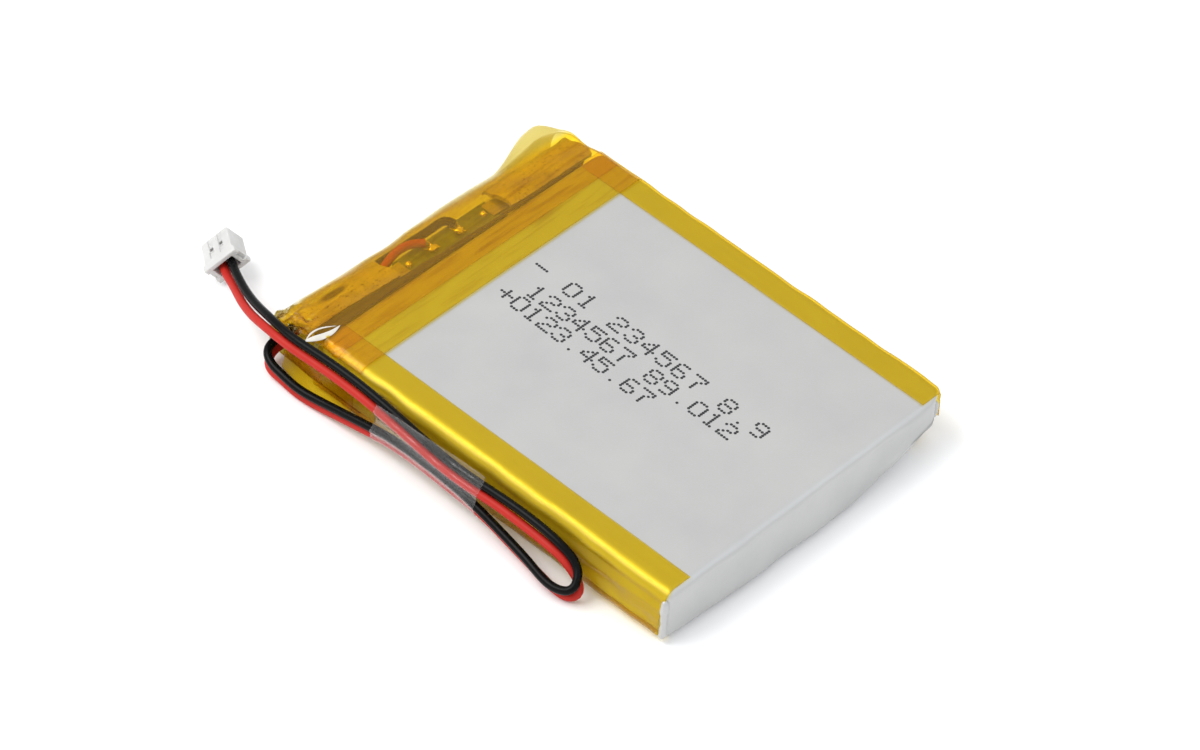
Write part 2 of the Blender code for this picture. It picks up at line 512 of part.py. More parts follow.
def connector():
    """A two-way wire housing with a crimp terminal in each cavity, lying where the leads end."""
    bm = bmesh.new()
    shell, rim = HOUSING, FLANGE
    sections = ((0.0, rim), (rim["length"], rim), (rim["length"], shell), (shell["length"], shell))
    rings = [[bm.verts.new((sx * size["width"] / 2, y, sz * size["height"] / 2))
              for sx, sz in ((-1, -1), (1, -1), (1, 1), (-1, 1))] for y, size in sections]
    bm.faces.new(rings[0])
    bm.faces.new(rings[-1])
    for lower, upper in zip(rings, rings[1:]):
        for i in range(4):
            bm.faces.new((lower[i], lower[(i + 1) % 4], upper[(i + 1) % 4], upper[i]))
    housing = piece_from_bmesh("connector_housing", bm, "nylon")

    pocket = REAR_POCKET
    cutters = [box("rear_pocket_cutter", (-pocket["width"] / 2, -1.0, -pocket["height"] / 2),
                   (pocket["width"] / 2, pocket["depth"], pocket["height"] / 2), "nylon")]
    terminals = []
    for colour, side in (("red", -1), ("black", 1)):
        x = side * PIN_PITCH / 2
        cutters.append(box(f"{colour}_cavity_cutter", (x - CAVITY / 2, pocket["depth"] - 0.5, -CAVITY / 2),
                           (x + CAVITY / 2, shell["length"] + 1.0, CAVITY / 2), "nylon"))
        start = pocket["depth"] + 0.25
        terminals.append(box(f"crimp_terminal_{colour}", (x - TERMINAL / 2, start, -TERMINAL / 2),
                             (x + TERMINAL / 2, start + TERMINAL_LENGTH, TERMINAL / 2), "tin", bevel=0.1))
    for cutter in cutters:
        cutter.hide_render = True
        cutter.display_type = "WIRE"
        cut = housing.modifiers.new(cutter.name, "BOOLEAN")
        cut.operation = "DIFFERENCE"
        cut.object = cutter
    pose = (Matrix.Translation(Vector(CONNECTOR_AT) * MM)
            @ Matrix.Rotation(radians(-CONNECTOR_HEADING), 4, "Z")
            @ Matrix.Rotation(radians(-CONNECTOR_ROLL), 4, "Y"))
    for piece in (housing, *cutters, *terminals):
        piece.matrix_basis = pose


def main():
    for old in list(bpy.data.objects):
        bpy.data.objects.remove(old, do_unlink=True)
    frame = bpy.data.objects.new("cell_frame", None)
    bpy.context.collection.objects.link(frame)
    pouch()
    electrode_stack()
    tab("positive_tab", POSITIVE_X, "aluminium")
    tab("negative_tab", NEGATIVE_X, "nickel")
    tab_sealant("positive_tab_sealant", POSITIVE_X)
    tab_sealant("negative_tab_sealant", NEGATIVE_X)
    terrace_parts()
    tapes()
    lead("black_lead", BLACK_ROUTE, "black_pvc")
    lead("red_lead", RED_ROUTE, "red_pvc")
    connector()
    # middle of the cell with its tapes, without the leads, over the origin
    nearest, farthest = -27.88, HALF_WIDTH
    frame.location = (-(nearest + farthest) / 2 * MM, -(BODY_START + TERRACE_END) / 2 * MM, 0.0)


main()
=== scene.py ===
"""Looks of the pouch battery cell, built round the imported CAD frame.

Lengths are millimetres in the cell's own frame, the one that the CAD model uses: X across the cell,
+Y towards the tab end, +Z up from the surface it lies on.  world() turns them into metres.
"""
import math

import bmesh
import bpy
import numpy as np
from mathutils import Matrix, Vector

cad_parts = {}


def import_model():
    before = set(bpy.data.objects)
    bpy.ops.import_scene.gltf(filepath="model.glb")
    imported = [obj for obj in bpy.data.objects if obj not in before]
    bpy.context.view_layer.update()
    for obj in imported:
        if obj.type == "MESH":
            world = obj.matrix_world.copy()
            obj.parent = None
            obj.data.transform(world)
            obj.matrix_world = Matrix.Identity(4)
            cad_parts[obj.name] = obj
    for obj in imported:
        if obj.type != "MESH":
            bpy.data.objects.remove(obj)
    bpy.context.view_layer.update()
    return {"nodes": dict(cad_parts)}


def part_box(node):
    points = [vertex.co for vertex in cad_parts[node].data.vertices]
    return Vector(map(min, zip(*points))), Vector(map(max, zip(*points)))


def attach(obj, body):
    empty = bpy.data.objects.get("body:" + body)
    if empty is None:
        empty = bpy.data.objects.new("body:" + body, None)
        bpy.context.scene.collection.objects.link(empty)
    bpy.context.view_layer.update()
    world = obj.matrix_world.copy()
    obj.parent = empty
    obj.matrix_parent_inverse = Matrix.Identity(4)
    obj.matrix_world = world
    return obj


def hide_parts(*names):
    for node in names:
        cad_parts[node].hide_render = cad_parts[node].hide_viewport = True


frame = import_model()

MM = 0.001
BOARD_LOW = (-7.0, 27.9)            # the board's low corner in the cell's frame
board_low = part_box("protection_board")[0]
ORIGIN = np.array([board_low[0] - BOARD_LOW[0] * MM, board_low[1] - BOARD_LOW[1] * MM, 0.0])

TOP, BOTTOM = 7.87, 0.33            # faces of the pouch
WALL = 24.29                        # outside of the pouch's long walls
FRONT, BACK = -30.0, 26.6           # closed end and tab end of the pouch
FILM = 0.05                         # thickness of the tapes
SEAM_Z = 4.1                        # middle of the pouch's height
LONG_EDGE, FAR_EDGE = 1.5, 0.8      # rounding of the pouch's long edges, and of the far upper one


def world(points):
    """Cell millimetres to metres in the row's frame."""
    return np.asarray(points, dtype=float) * MM + ORIGIN


# --------------------------------------------------------------------------------------------------
# shape helpers
# --------------------------------------------------------------------------------------------------

def waves(points, length, seed, count=9):
    """A smooth random field between about -1 and 1 whose features are about `length` mm across."""
    rng = np.random.default_rng(seed)
    directions = rng.normal(size=(count, 3))
    directions /= np.linalg.norm(directions, axis=1)[:, None]
    pitch = 2 * math.pi / (length * rng.uniform(0.7, 1.6, count))
    phase = rng.uniform(0, 2 * math.pi, count)
    return np.sin(points @ (directions * pitch[:, None]).T + phase).sum(axis=-1) / math.sqrt(count)


def circle(sides):
    """The angles of a regular polygon's corners."""
    return [2 * math.pi * k / sides for k in range(sides)]


def ramp(x, low, high):
    """0 below low, 1 above high, smooth between."""
    t = np.clip((x - low) / (high - low), 0.0, 1.0)
    return t * t * (3 - 2 * t)


def natural_spline(route, fine=2000):
    """Points on the natural cubic spline through a route's points, with the distance run so far."""
    knots = np.array(route, dtype=float)
    gaps = np.linalg.norm(np.diff(knots, axis=0), axis=1)
    at = np.concatenate(([0.0], np.cumsum(gaps)))
    system = np.eye(len(knots))
    right = np.zeros_like(knots)
    for i in range(1, len(knots) - 1):
        system[i, i - 1:i + 2] = gaps[i - 1], 2 * (gaps[i - 1] + gaps[i]), gaps[i]
        right[i] = 6 * ((knots[i + 1] - knots[i]) / gaps[i] - (knots[i] - knots[i - 1]) / gaps[i - 1])
    bend = np.linalg.solve(system, right)
    spots = np.linspace(0.0, at[-1], fine)
    span = np.clip(np.searchsorted(at, spots) - 1, 0, len(gaps) - 1)
    width = gaps[span][:, None]
    left, gone = (at[span + 1] - spots)[:, None], (spots - at[span])[:, None]
    curve = (bend[span] * left**3 + bend[span + 1] * gone**3) / (6 * width)
    curve += (knots[span] / width - bend[span] * width / 6) * left
    curve += (knots[span + 1] / width - bend[span + 1] * width / 6) * gone
    run = np.concatenate(([0.0], np.cumsum(np.linalg.norm(np.diff(curve, axis=0), axis=1))))
    return curve, run


def resample(route, count=None, spacing=None):
    """Evenly spaced points on the spline through a route."""
    curve, run = natural_spline(route)
    if count is None:
        count = int(round(run[-1] / spacing)) + 1
    even = np.linspace(0.0, run[-1], count)
    return np.stack([np.interp(even, run, curve[:, axis]) for axis in range(curve.shape[1])], axis=1)


def register(name, data, material, replaced):
    """Put a mesh or curve in the scene as a piece that rides on the cell, in place of a CAD node."""
    data.materials.append(material)
    piece = bpy.data.objects.new(name, data)
    bpy.context.collection.objects.link(piece)
    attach(piece, "root")
    if replaced:
        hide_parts(replaced)
    return piece


def outward(mesh):
    """Turn a closed mesh's faces outwards."""
    bm = bmesh.new()
    bm.from_mesh(mesh)
    bmesh.ops.recalc_face_normals(bm, faces=bm.faces)
    bm.to_mesh(mesh)
    bm.free()


def piece_from(name, replaced, verts, faces, material, smooth=True, angle=None):
    mesh = bpy.data.meshes.new(name)
    mesh.from_pydata(world(verts).tolist(), [], faces)
    mesh.validate()
    outward(mesh)
    if smooth:
        mesh.shade_smooth()
        if angle:
            mesh.set_sharp_from_angle(angle=math.radians(angle))
    register(name, mesh, material, replaced)


def quads(index):
    """The four-sided faces of a grid of point numbers."""
    return np.stack([index[:-1, :-1], index[1:, :-1], index[1:, 1:], index[:-1, 1:]], axis=-1).reshape(-1, 4)


def tube_faces(rings, sides, first=0):
    """Faces of a closed tube through rings of points, capped at both ends."""
    faces = []
    for start in range(first, first + (rings - 1) * sides, sides):
        for k in range(sides):
            a, b = start + k, start + (k + 1) % sides
            faces.append([a, b, b + sides, a + sides])
    faces.append([first + k for k in range(sides - 1, -1, -1)])
    faces.append([first + (rings - 1) * sides + k for k in range(sides)])
    return faces


def film(name, replaced, grid, material, thickness=FILM):
    """A thin closed sheet whose middle surface is a grid of points."""
    normals = np.cross(np.gradient(grid, axis=0), np.gradient(grid, axis=1))
    normals *= thickness / 2 / np.maximum(np.linalg.norm(normals, axis=-1, keepdims=True), 1e-9)
    verts = np.concatenate([(grid + normals).reshape(-1, 3), (grid - normals).reshape(-1, 3)])
    count = len(verts) // 2
    index = np.arange(count).reshape(grid.shape[:2])
    faces = quads(index).tolist() + quads(index + count)[:, ::-1].tolist()
    rim = np.concatenate([index[0, :], index[1:, -1], index[-1, -2::-1], index[-2:0:-1, 0]])
    for a, b in zip(rim, np.roll(rim, -1)):
        faces.append([int(b), int(a), int(a + count), int(b + count)])
    piece_from(name, replaced, verts, faces, material)


def lattice(name, replaced, axes, shape, material, angle=None):
    """A closed block: the surface points of a box lattice, moved by shape()."""
    counts = [len(axis) for axis in axes]
    ends = []
    for axis in range(3):
        for end in (0, -1):
            cut = [slice(None)] * 3
            cut[axis] = end
            ends.append(tuple(cut))
    edge = np.zeros(counts, dtype=bool)
    for cut in ends:
        edge[cut] = True
    number = -np.ones(counts, dtype=int)
    number[edge] = np.arange(edge.sum())
    where = np.argwhere(edge)
    points = np.stack([np.asarray(axes[axis], dtype=float)[where[:, axis]] for axis in range(3)], axis=1)
    faces = [face for cut in ends for face in quads(number[cut]).tolist()]
    piece_from(name, replaced, shape(points), faces, material, angle=angle)


def stations(low, high, edge, fine, coarse):
    """Positions from low to high, `fine` apart within `edge` of either end, `coarse` apart between."""
    steps = max(int(round(edge / fine)), 1)
    middle = max(int(round((high - low - 2 * edge) / coarse)), 1)
    return np.concatenate([np.linspace(low, low + edge, steps + 1)[:-1],
                           np.linspace(low + edge, high - edge, middle + 1)[:-1],
                           np.linspace(high - edge, high, steps + 1)])


def round_corner(a, b, high_a, high_b, radius, sign_a=1, sign_b=1):
    """Round one corner of a rectangle's section: the corner's square is mapped onto a quarter disc."""
    s = (sign_a * a - (high_a - radius)) / radius
    t = (sign_b * b - (high_b - radius)) / radius
    inside = (s > 0) & (t > 0)
    s_in, t_in = np.where(inside, s, 0), np.where(inside, t, 0)
    s_new = s_in * np.sqrt(1 - t_in**2 / 2)
    t_new = t_in * np.sqrt(1 - s_in**2 / 2)
    new_a = np.where(inside, sign_a * (high_a - radius + s_new * radius), a)
    new_b = np.where(inside, sign_b * (high_b - radius + t_new * radius), b)
    return new_a, new_b


# --------------------------------------------------------------------------------------------------
# materials
# --------------------------------------------------------------------------------------------------

def add_node(tree, kind, inputs, **settings):
    """Add a shader node: its inputs are values or the sockets that feed them, settings are its own properties."""
    made = tree.nodes.new(kind)
    for setting, value in settings.items():
        setattr(made, setting, value)
    for name, value in inputs.items():
        if isinstance(value, bpy.types.NodeSocket):
            tree.links.new(value, made.inputs[name])
        else:
            made.inputs[name].default_value = value
    return made


def object_place(tree):
    """The place on the object, in the row's metres."""
    return add_node(tree, "ShaderNodeTexCoord", {}).outputs["Object"]


def noise(tree, scale, detail=4.0, stretch=(1, 1, 1)):
    """A noise on the object's own coordinates, its features `scale` mm across."""
    mapped = add_node(tree, "ShaderNodeMapping", {"Vector": object_place(tree), "Scale": stretch})
    inputs = {"Vector": mapped.outputs["Vector"], "Scale": 1.0 / (scale * MM), "Detail": detail, "Roughness": 0.55}
    return add_node(tree, "ShaderNodeTexNoise", inputs).outputs["Fac"]


def colour_ramp(tree, factor, low, high, span=(0.3, 0.7)):
    """A colour that runs from low to high over a span of the factor."""
    ramp_node = add_node(tree, "ShaderNodeValToRGB", {"Fac": factor})
    for stop, position, colour in zip(ramp_node.color_ramp.elements, span, (low, high)):
        stop.position, stop.color = position, (*colour, 1.0)
    return ramp_node.outputs["Color"]


def value_ramp(tree, factor, low, high, span=(0.3, 0.7), **settings):
    """A number that runs from low to high over a span of the factor."""
    inputs = {"Value": factor, "From Min": span[0], "From Max": span[1], "To Min": low, "To Max": high}
    return add_node(tree, "ShaderNodeMapRange", inputs, **settings).outputs["Result"]


def mixed_colour(tree, factor, near, far):
    """A colour between near, a socket or four numbers, and far."""
    inputs = {"Factor": factor, "A": near, "B": (*far, 1.0)}
    return add_node(tree, "ShaderNodeMix", inputs, data_type="RGBA").outputs["Result"]


def calculated(tree, operation, a, b):
    return add_node(tree, "ShaderNodeMath", {0: a, 1: b}, operation=operation).outputs["Value"]


def bumped(tree, height, strength, distance):
    """A normal bumped by a height; distance is in mm."""
    inputs = {"Height": height, "Strength": strength, "Distance": distance * MM}
    return add_node(tree, "ShaderNodeBump", inputs).outputs["Normal"]


def surface(name, low, high, roughness, metallic=0.0, scale=1.0, bump=(0.3, 0.02), grain=None,
            stretch=(1, 1, 1), subsurface=0.0, specular=0.5, sheen=0.0):
    """A solid material: its colour wanders between two, its roughness too, with a fine bump."""
    made = bpy.data.materials.new(name)
    made.use_nodes = True
    tree = made.node_tree
    tone = noise(tree, scale * 6, stretch=stretch)
    fine = noise(tree, grain or scale, detail=6.0, stretch=stretch)
    shader = tree.nodes["Principled BSDF"]
    for socket, source in (("Base Color", colour_ramp(tree, tone, low, high)),
                           ("Roughness", value_ramp(tree, fine, *roughness)), ("Normal", bumped(tree, fine, *bump))):
        tree.links.new(source, shader.inputs[socket])
    for socket, value in (("Metallic", metallic), ("Specular IOR Level", specular), ("Sheen Weight", sheen),
                          ("Subsurface Weight", subsurface), ("Subsurface Radius", (1.0, 1.0, 0.9)),
                          ("Subsurface Scale", 0.6 * MM)):
        shader.inputs[socket].default_value = value
    return made


def beyond_terrace(tree):
    """0 over the pouch and the terrace, 1 in the free margin of the wrap, which is wider at the far end."""
    place = add_node(tree, "ShaderNodeSeparateXYZ", {"Vector": object_place(tree)}).outputs
    wider = value_ramp(tree, place["X"], 0.0, 1.5 * MM, world([(0, 0, 0), (24, 0, 0)])[:, 0])
    return value_ramp(tree, calculated(tree, "ADD", place["Y"], wider), 0.0, 1.0,
                      world([(0, 32.4, 0), (0, 33.5, 0)])[:, 1], interpolation_type="SMOOTHSTEP")


def film_material(name, tint, steep_tint, gloss_roughness, haze, haze_colour, mirror_range, mirror_power=5.0,
                  ripple=(0.35, 0.03), ripple_scale=2.5, pale_tint=None, streak_tint=None):
    """A clear coloured film: what is behind it shows, tinted, under a glossy skin with a little haze."""
    made = bpy.data.materials.new(name)
    made.use_nodes = True
    tree = made.node_tree
    tree.nodes.remove(tree.nodes["Principled BSDF"])
    normal = bumped(tree, noise(tree, ripple_scale, detail=3.0), *ripple)
    facing = add_node(tree, "ShaderNodeLayerWeight", {"Normal": normal, "Blend": 0.5}).outputs["Facing"]
    # a steep look goes through more film, and sees more of the room mirrored in it
    colour = mixed_colour(tree, calculated(tree, "POWER", facing, 2.5), (*tint, 1.0), steep_tint)
    mirror = value_ramp(tree, calculated(tree, "POWER", facing, mirror_power), *mirror_range, span=(0.0, 1.0))
    if streak_tint:                             # long brown streaks where the adhesive has gathered
        streaks = noise(tree, 0.55, stretch=(0.07, 1, 1))
        colour = mixed_colour(tree, value_ramp(tree, streaks, 0.0, 0.7, (0.50, 0.68)), colour, streak_tint)
    if pale_tint:
        colour = mixed_colour(tree, beyond_terrace(tree), colour, pale_tint)
    clear = add_node(tree, "ShaderNodeBsdfTransparent", {"Color": colour})
    milky = add_node(tree, "ShaderNodeBsdfDiffuse", {"Color": (*haze_colour, 1.0)})
    gloss = add_node(tree, "ShaderNodeBsdfGlossy",
                     {"Color": (1.0, 1.0, 1.0, 1.0), "Roughness": gloss_roughness, "Normal": normal})
    body = add_node(tree, "ShaderNodeMixShader", {0: haze, 1: clear.outputs["BSDF"], 2: milky.outputs["BSDF"]})
    skin = add_node(tree, "ShaderNodeMixShader", {0: mirror, 1: body.outputs["Shader"], 2: gloss.outputs["BSDF"]})
    tree.links.new(skin.outputs["Shader"], tree.nodes["Material Output"].inputs["Surface"])
    return made


def speckled_and_shaded(made, dark, shade_at, shade_radii):
    """Dark specks over a material, and one long patch of painted shade, darkest in its middle."""
    tree = made.node_tree
    colour = tree.nodes["Principled BSDF"].inputs["Base Color"]
    spots = value_ramp(tree, noise(tree, 0.32, detail=2.0), 0.0, 0.65, (0.60, 0.66))
    offset = add_node(tree, "ShaderNodeVectorMath", {0: object_place(tree), 1: world(shade_at)}, operation="SUBTRACT")
    scaled = add_node(tree, "ShaderNodeVectorMath", {0: offset.outputs["Vector"], 1: np.array(shade_radii) * MM},
                      operation="DIVIDE")
    away = add_node(tree, "ShaderNodeVectorMath", {0: scaled.outputs["Vector"]}, operation="LENGTH")
    # painted shade: a long patch, darkest in its middle, fading out at its edge
    painted_shade = value_ramp(tree, away.outputs["Value"], 0.95, 0.0, (0.6, 1.1))
    darker = mixed_colour(tree, calculated(tree, "MAXIMUM", spots, painted_shade), colour.links[0].from_socket, dark)
    tree.links.new(darker, colour)
    return made


laminate = surface("laminate_look", (0.455, 0.455, 0.45), (0.49, 0.49, 0.48), (0.34, 0.44), metallic=0.45,
                   scale=1.4, grain=0.5, bump=(0.10, 0.02))
AMBER = dict(tint=(1.0, 0.93, 0.40), steep_tint=(0.62, 0.44, 0.06), gloss_roughness=0.22, haze=0.034,
             haze_colour=(1.0, 0.56, 0.01), mirror_range=(0.012, 0.80))
amber = film_material("amber_film", **AMBER)
amber_wrap = film_material("amber_wrap_film", pale_tint=(0.90, 0.87, 0.65), streak_tint=(0.90, 0.79, 0.33), **AMBER)
clear_film = film_material("clear_film", (0.99, 0.99, 0.99), (0.90, 0.90, 0.90), 0.16, haze=0.010,
                           haze_colour=(0.75, 0.75, 0.75), ripple=(0.8, 0.06), ripple_scale=1.0,
                           mirror_range=(0.02, 0.62), mirror_power=3.3)
red_pvc = surface("red_pvc_look", (0.40, 0.015, 0.009), (0.45, 0.020, 0.013), (0.42, 0.52), scale=0.8,
                  bump=(0.15, 0.02), specular=0.20)
black_pvc = surface("black_pvc_look", (0.0016, 0.0016, 0.0019), (0.0032, 0.0032, 0.0036), (0.20, 0.32), scale=0.8,
                    bump=(0.30, 0.03), specular=0.10)
nylon = surface("nylon_look", (0.50, 0.50, 0.49), (0.57, 0.57, 0.56), (0.32, 0.45), scale=0.6,
                bump=(0.12, 0.02), subsurface=0.35)
ink = surface("ink_look", (0.010, 0.010, 0.012), (0.020, 0.020, 0.022), (0.5, 0.7), scale=0.2, bump=(0.2, 0.01))
bare_tin = surface("tin_look", (0.62, 0.62, 0.62), (0.78, 0.78, 0.77), (0.18, 0.34), metallic=1.0, scale=0.5)
solder = surface("solder_look", (0.70, 0.68, 0.62), (0.92, 0.90, 0.85), (0.16, 0.32), metallic=0.85, scale=0.35,
                 bump=(0.5, 0.05))
nickel = surface("nickel_look", (0.42, 0.40, 0.37), (0.52, 0.50, 0.46), (0.26, 0.36), metallic=0.9, scale=0.7,
                 bump=(0.25, 0.02))
bare_aluminium = surface("aluminium_look", (0.70, 0.71, 0.72), (0.84, 0.85, 0.86), (0.25, 0.42), metallic=1.0,
                         scale=0.6, stretch=(1, 0.15, 1))
board = surface("board_look", (0.05, 0.11, 0.035), (0.17, 0.26, 0.08), (0.30, 0.45), scale=0.3,
                bump=(0.4, 0.03))
chip = surface("chip_look", (0.015, 0.015, 0.016), (0.03, 0.03, 0.03), (0.45, 0.6), scale=0.15, bump=(0.4, 0.01))
ceramic = surface("ceramic_look", (0.32, 0.20, 0.10), (0.42, 0.28, 0.16), (0.4, 0.55), scale=0.2)
# foam with dark specks, and a long patch of painted shade on the near cushion
foam = speckled_and_shaded(surface("foam_look", (0.36, 0.34, 0.29), (0.56, 0.54, 0.48), (0.8, 0.95), scale=0.5, bump=(0.6, 0.12)),
                (0.05, 0.03, 0.02), (-16.7, 31.6, 6.9), (2.6, 0.75, 2.5))
paper = surface("paper_look", (0.50, 0.47, 0.41), (0.66, 0.64, 0.59), (0.8, 0.95), scale=0.4, bump=(0.5, 0.02),
                sheen=0.2)
# the insulation board behind the terrace, coloured near black: painted shade for the deep gap between the pouch's top
# and the board
shade_dark_grey_board = surface("shade_dark_grey_board_look", (0.018, 0.015, 0.017), (0.040, 0.034, 0.036), (0.6, 0.8), scale=0.5,
                     bump=(0.3, 0.02), stretch=(0.3, 1, 1))
sealant = surface("sealant_look", (0.80, 0.80, 0.74), (0.90, 0.90, 0.84), (0.4, 0.55), scale=0.5)
anode = surface("anode_look", (0.030, 0.030, 0.032), (0.055, 0.055, 0.058), (0.7, 0.9), scale=0.3, bump=(0.6, 0.02))
cathode = surface("cathode_look", (0.018, 0.018, 0.018), (0.034, 0.034, 0.034), (0.65, 0.85), scale=0.3,
                  bump=(0.6, 0.02))
separator = surface("separator_look", (0.84, 0.84, 0.82), (0.92, 0.92, 0.90), (0.45, 0.6), scale=0.5)
binding = surface("binding_look", (0.10, 0.28, 0.17), (0.16, 0.38, 0.24), (0.25, 0.4), scale=0.6)

# the nodes whose CAD shape shows
carried = {
    "positive_tab": bare_aluminium, "negative_tab": nickel,
    "positive_nickel_strip": nickel, "negative_nickel_strip": nickel,
    "positive_tab_sealant": sealant, "negative_tab_sealant": sealant,
    "protection_board": board, "protection_ic": chip, "mosfet_pair": chip,
    "filter_resistor": chip, "sense_resistor": chip, "filter_capacitor": ceramic,
    "solder_joint_positive": solder, "solder_joint_negative": solder,
    "separator": separator, "stack_binding_tape_1": binding, "stack_binding_tape_2": binding,
}
carried.update({f"anode_sheet_{n}": anode for n in range(1, 9)})
carried.update({f"cathode_sheet_{n}": cathode for n in range(1, 8)})
for node, look in carried.items():
    for place in frame["nodes"][node].material_slots:
        place.material = look

# --------------------------------------------------------------------------------------------------
# camera
# --------------------------------------------------------------------------------------------------
CAMERA_AZIMUTH, CAMERA_ELEVATION, CAMERA_ROLL = -52.463, 44.651, 7.288
CAMERA_DISTANCE = 815.07
CAMERA_TARGET = (2.698, 4.848, 0.0)
LENS = 202.7

azimuth, elevation, roll = (math.radians(a) for a in (CAMERA_AZIMUTH, CAMERA_ELEVATION, CAMERA_ROLL))
backward = Vector((math.sin(azimuth) * math.cos(elevation), -math.cos(azimuth) * math.cos(elevation),
                   math.sin(elevation)))
rightward = (-backward).cross(Vector((0, 0, 1))).normalized()
upward = rightward.cross(-backward)
right_rolled = rightward * math.cos(roll) + upward * math.sin(roll)
up_rolled = upward * math.cos(roll) - rightward * math.sin(roll)
camera_data = bpy.data.cameras.new("camera")
camera_data.sensor_width = 36.0
camera_data.lens = LENS
camera_data.clip_start, camera_data.clip_end = 0.01, 10.0
camera = bpy.data.objects.new("camera", camera_data)
bpy.context.collection.objects.link(camera)
spot = Vector(world(CAMERA_TARGET)) + backward * CAMERA_DISTANCE * MM
turn = Matrix((right_rolled, up_rolled, backward)).transposed()
camera.matrix_world = Matrix.Translation(spot) @ turn.to_4x4()
bpy.context.scene.camera = camera

# --------------------------------------------------------------------------------------------------
# leads
# --------------------------------------------------------------------------------------------------
LEAD = 1.1                          # outer diameter
LEAD_SPACING = 0.4
# each route runs from the joint on the board to the crimp terminal
BLACK_ROUTE = (
    (3.0, 30.25, 7.0), (2.6, 31.3, 6.9), (1.2, 31.92, 6.3), (-1.5, 32.5, 5.5), (-5.0, 33.0, 4.8),
    (-9.0, 33.2, 4.4), (-13.0, 33.2, 4.0), (-18.0, 33.15, 3.7), (-22.0, 33.1, 3.5), (-24.2, 33.25, 3.2),
    (-25.85, 33.1, 2.75), (-26.85, 31.9, 2.35), (-27.15, 29.8, 1.95), (-27.35, 26.8, 1.78),
    (-27.1, 23.2, 1.98), (-26.95, 19.5, 2.62), (-26.8, 15.5, 3.32), (-26.75, 11.5, 3.94),
    (-26.75, 6.5, 4.05), (-26.8, 1.5, 3.8), (-26.95, -3.0, 3.15), (-27.2, -7.5, 2.29),
    (-27.8, -11.8, 1.8), (-28.35, -14.2, 1.72), (-28.55, -16.0, 1.76), (-28.4, -17.4, 2.0),
    (-27.95, -18.3, 2.4), (-27.4, -18.5, 2.8), (-26.8, -18.3, 3.35), (-26.25, -17.85, 3.85),
    (-25.9, -17.2, 4.3), (-25.72, -16.4, 4.75), (-25.7, -15.4, 5.2), (-25.7, -14.0, 5.6),
    (-25.69, -12.0, 5.92), (-25.68, -9.5, 6.1), (-25.75, -5.0, 6.1), (-25.93, 1.0, 5.95),
    (-25.92, 7.0, 6.37), (-25.8, 13.0, 7.07), (-25.75, 19.0, 7.54), (-25.81, 25.0, 7.5),
    (-25.79, 30.0, 7.25), (-24.96, 33.9, 6.62), (-23.73, 37.4, 5.52), (-22.17, 40.9, 4.6),
    (-20.66, 43.8, 4.15), (-19.28, 46.07, 3.89), (-18.75, 46.8, 3.89),
)
RED_ROUTE = (
    (-2.1, 30.2, 7.0), (-3.4, 31.2, 6.9), (-5.4, 31.85, 6.4), (-7.6, 31.85, 5.0), (-9.6, 31.85, 3.5),
    (-12.0, 32.1, 2.5), (-16.0, 32.5, 2.2), (-20.0, 32.8, 2.1), (-23.0, 33.0, 1.9), (-25.2, 33.1, 1.45),
    (-26.5, 32.2, 1.05), (-26.95, 29.8, 0.78), (-27.1, 26.8, 0.6), (-26.9, 23.2, 0.82),
    (-26.75, 19.5, 1.48), (-26.6, 15.5, 2.19), (-26.55, 11.5, 2.81), (-26.55, 6.5, 2.92),
    (-26.55, 1.5, 2.64), (-26.46, -3.0, 2.07), (-26.7, -7.5, 1.23), (-27.23, -11.8, 0.8),
    (-27.65, -14.6, 0.66), (-27.8, -16.3, 0.62), (-27.74, -17.4, 0.66), (-27.45, -18.3, 0.88),
    (-26.97, -18.72, 1.28), (-26.55, -18.6, 1.8), (-26.3, -18.2, 2.25), (-26.1, -17.6, 2.65),
    (-26.05, -16.9, 3.1), (-26.1, -16.1, 3.65), (-26.12, -15.05, 4.14), (-26.2, -13.85, 4.48),
    (-26.2, -12.35, 4.67), (-26.22, -10.5, 4.82), (-26.33, -8.0, 5.05), (-26.4, -5.0, 5.14),
    (-26.58, 1.0, 4.99), (-26.57, 7.0, 5.41), (-26.45, 13.0, 6.11), (-26.4, 19.0, 6.58),
    (-26.46, 25.0, 6.54), (-26.44, 30.0, 6.29), (-26.0, 33.5, 5.95), (-25.02, 36.8, 5.0),
    (-23.36, 40.3, 3.9), (-21.46, 43.6, 3.0), (-19.92, 46.53, 2.61), (-19.39, 47.26, 2.61),
)


def lead(name, replaced, route, material):
    """One insulated lead: an evenly sampled curve along its route."""
    points = resample(route, spacing=LEAD_SPACING)
    curve = bpy.data.curves.new(name, "CURVE")
    curve.dimensions = "3D"
    curve.bevel_depth = LEAD / 2 * MM
    curve.bevel_resolution = 6
    curve.use_fill_caps = True
    spline = curve.splines.new("POLY")
    spline.points.add(len(points) - 1)
    for place, point in zip(spline.points, world(points)):
        place.co = (*point, 1.0)
    spline.use_smooth = True
    length = np.linalg.norm(np.diff(points, axis=0), axis=1).sum()
    return register(name, curve, material, replaced), points, length


black_piece, black_points, black_length = lead("black_lead_tube", "black_lead", BLACK_ROUTE, black_pvc)
red_piece, red_points, red_length = lead("red_lead_tube", "red_lead", RED_ROUTE, red_pvc)

# --------------------------------------------------------------------------------------------------
# pouch
# --------------------------------------------------------------------------------------------------

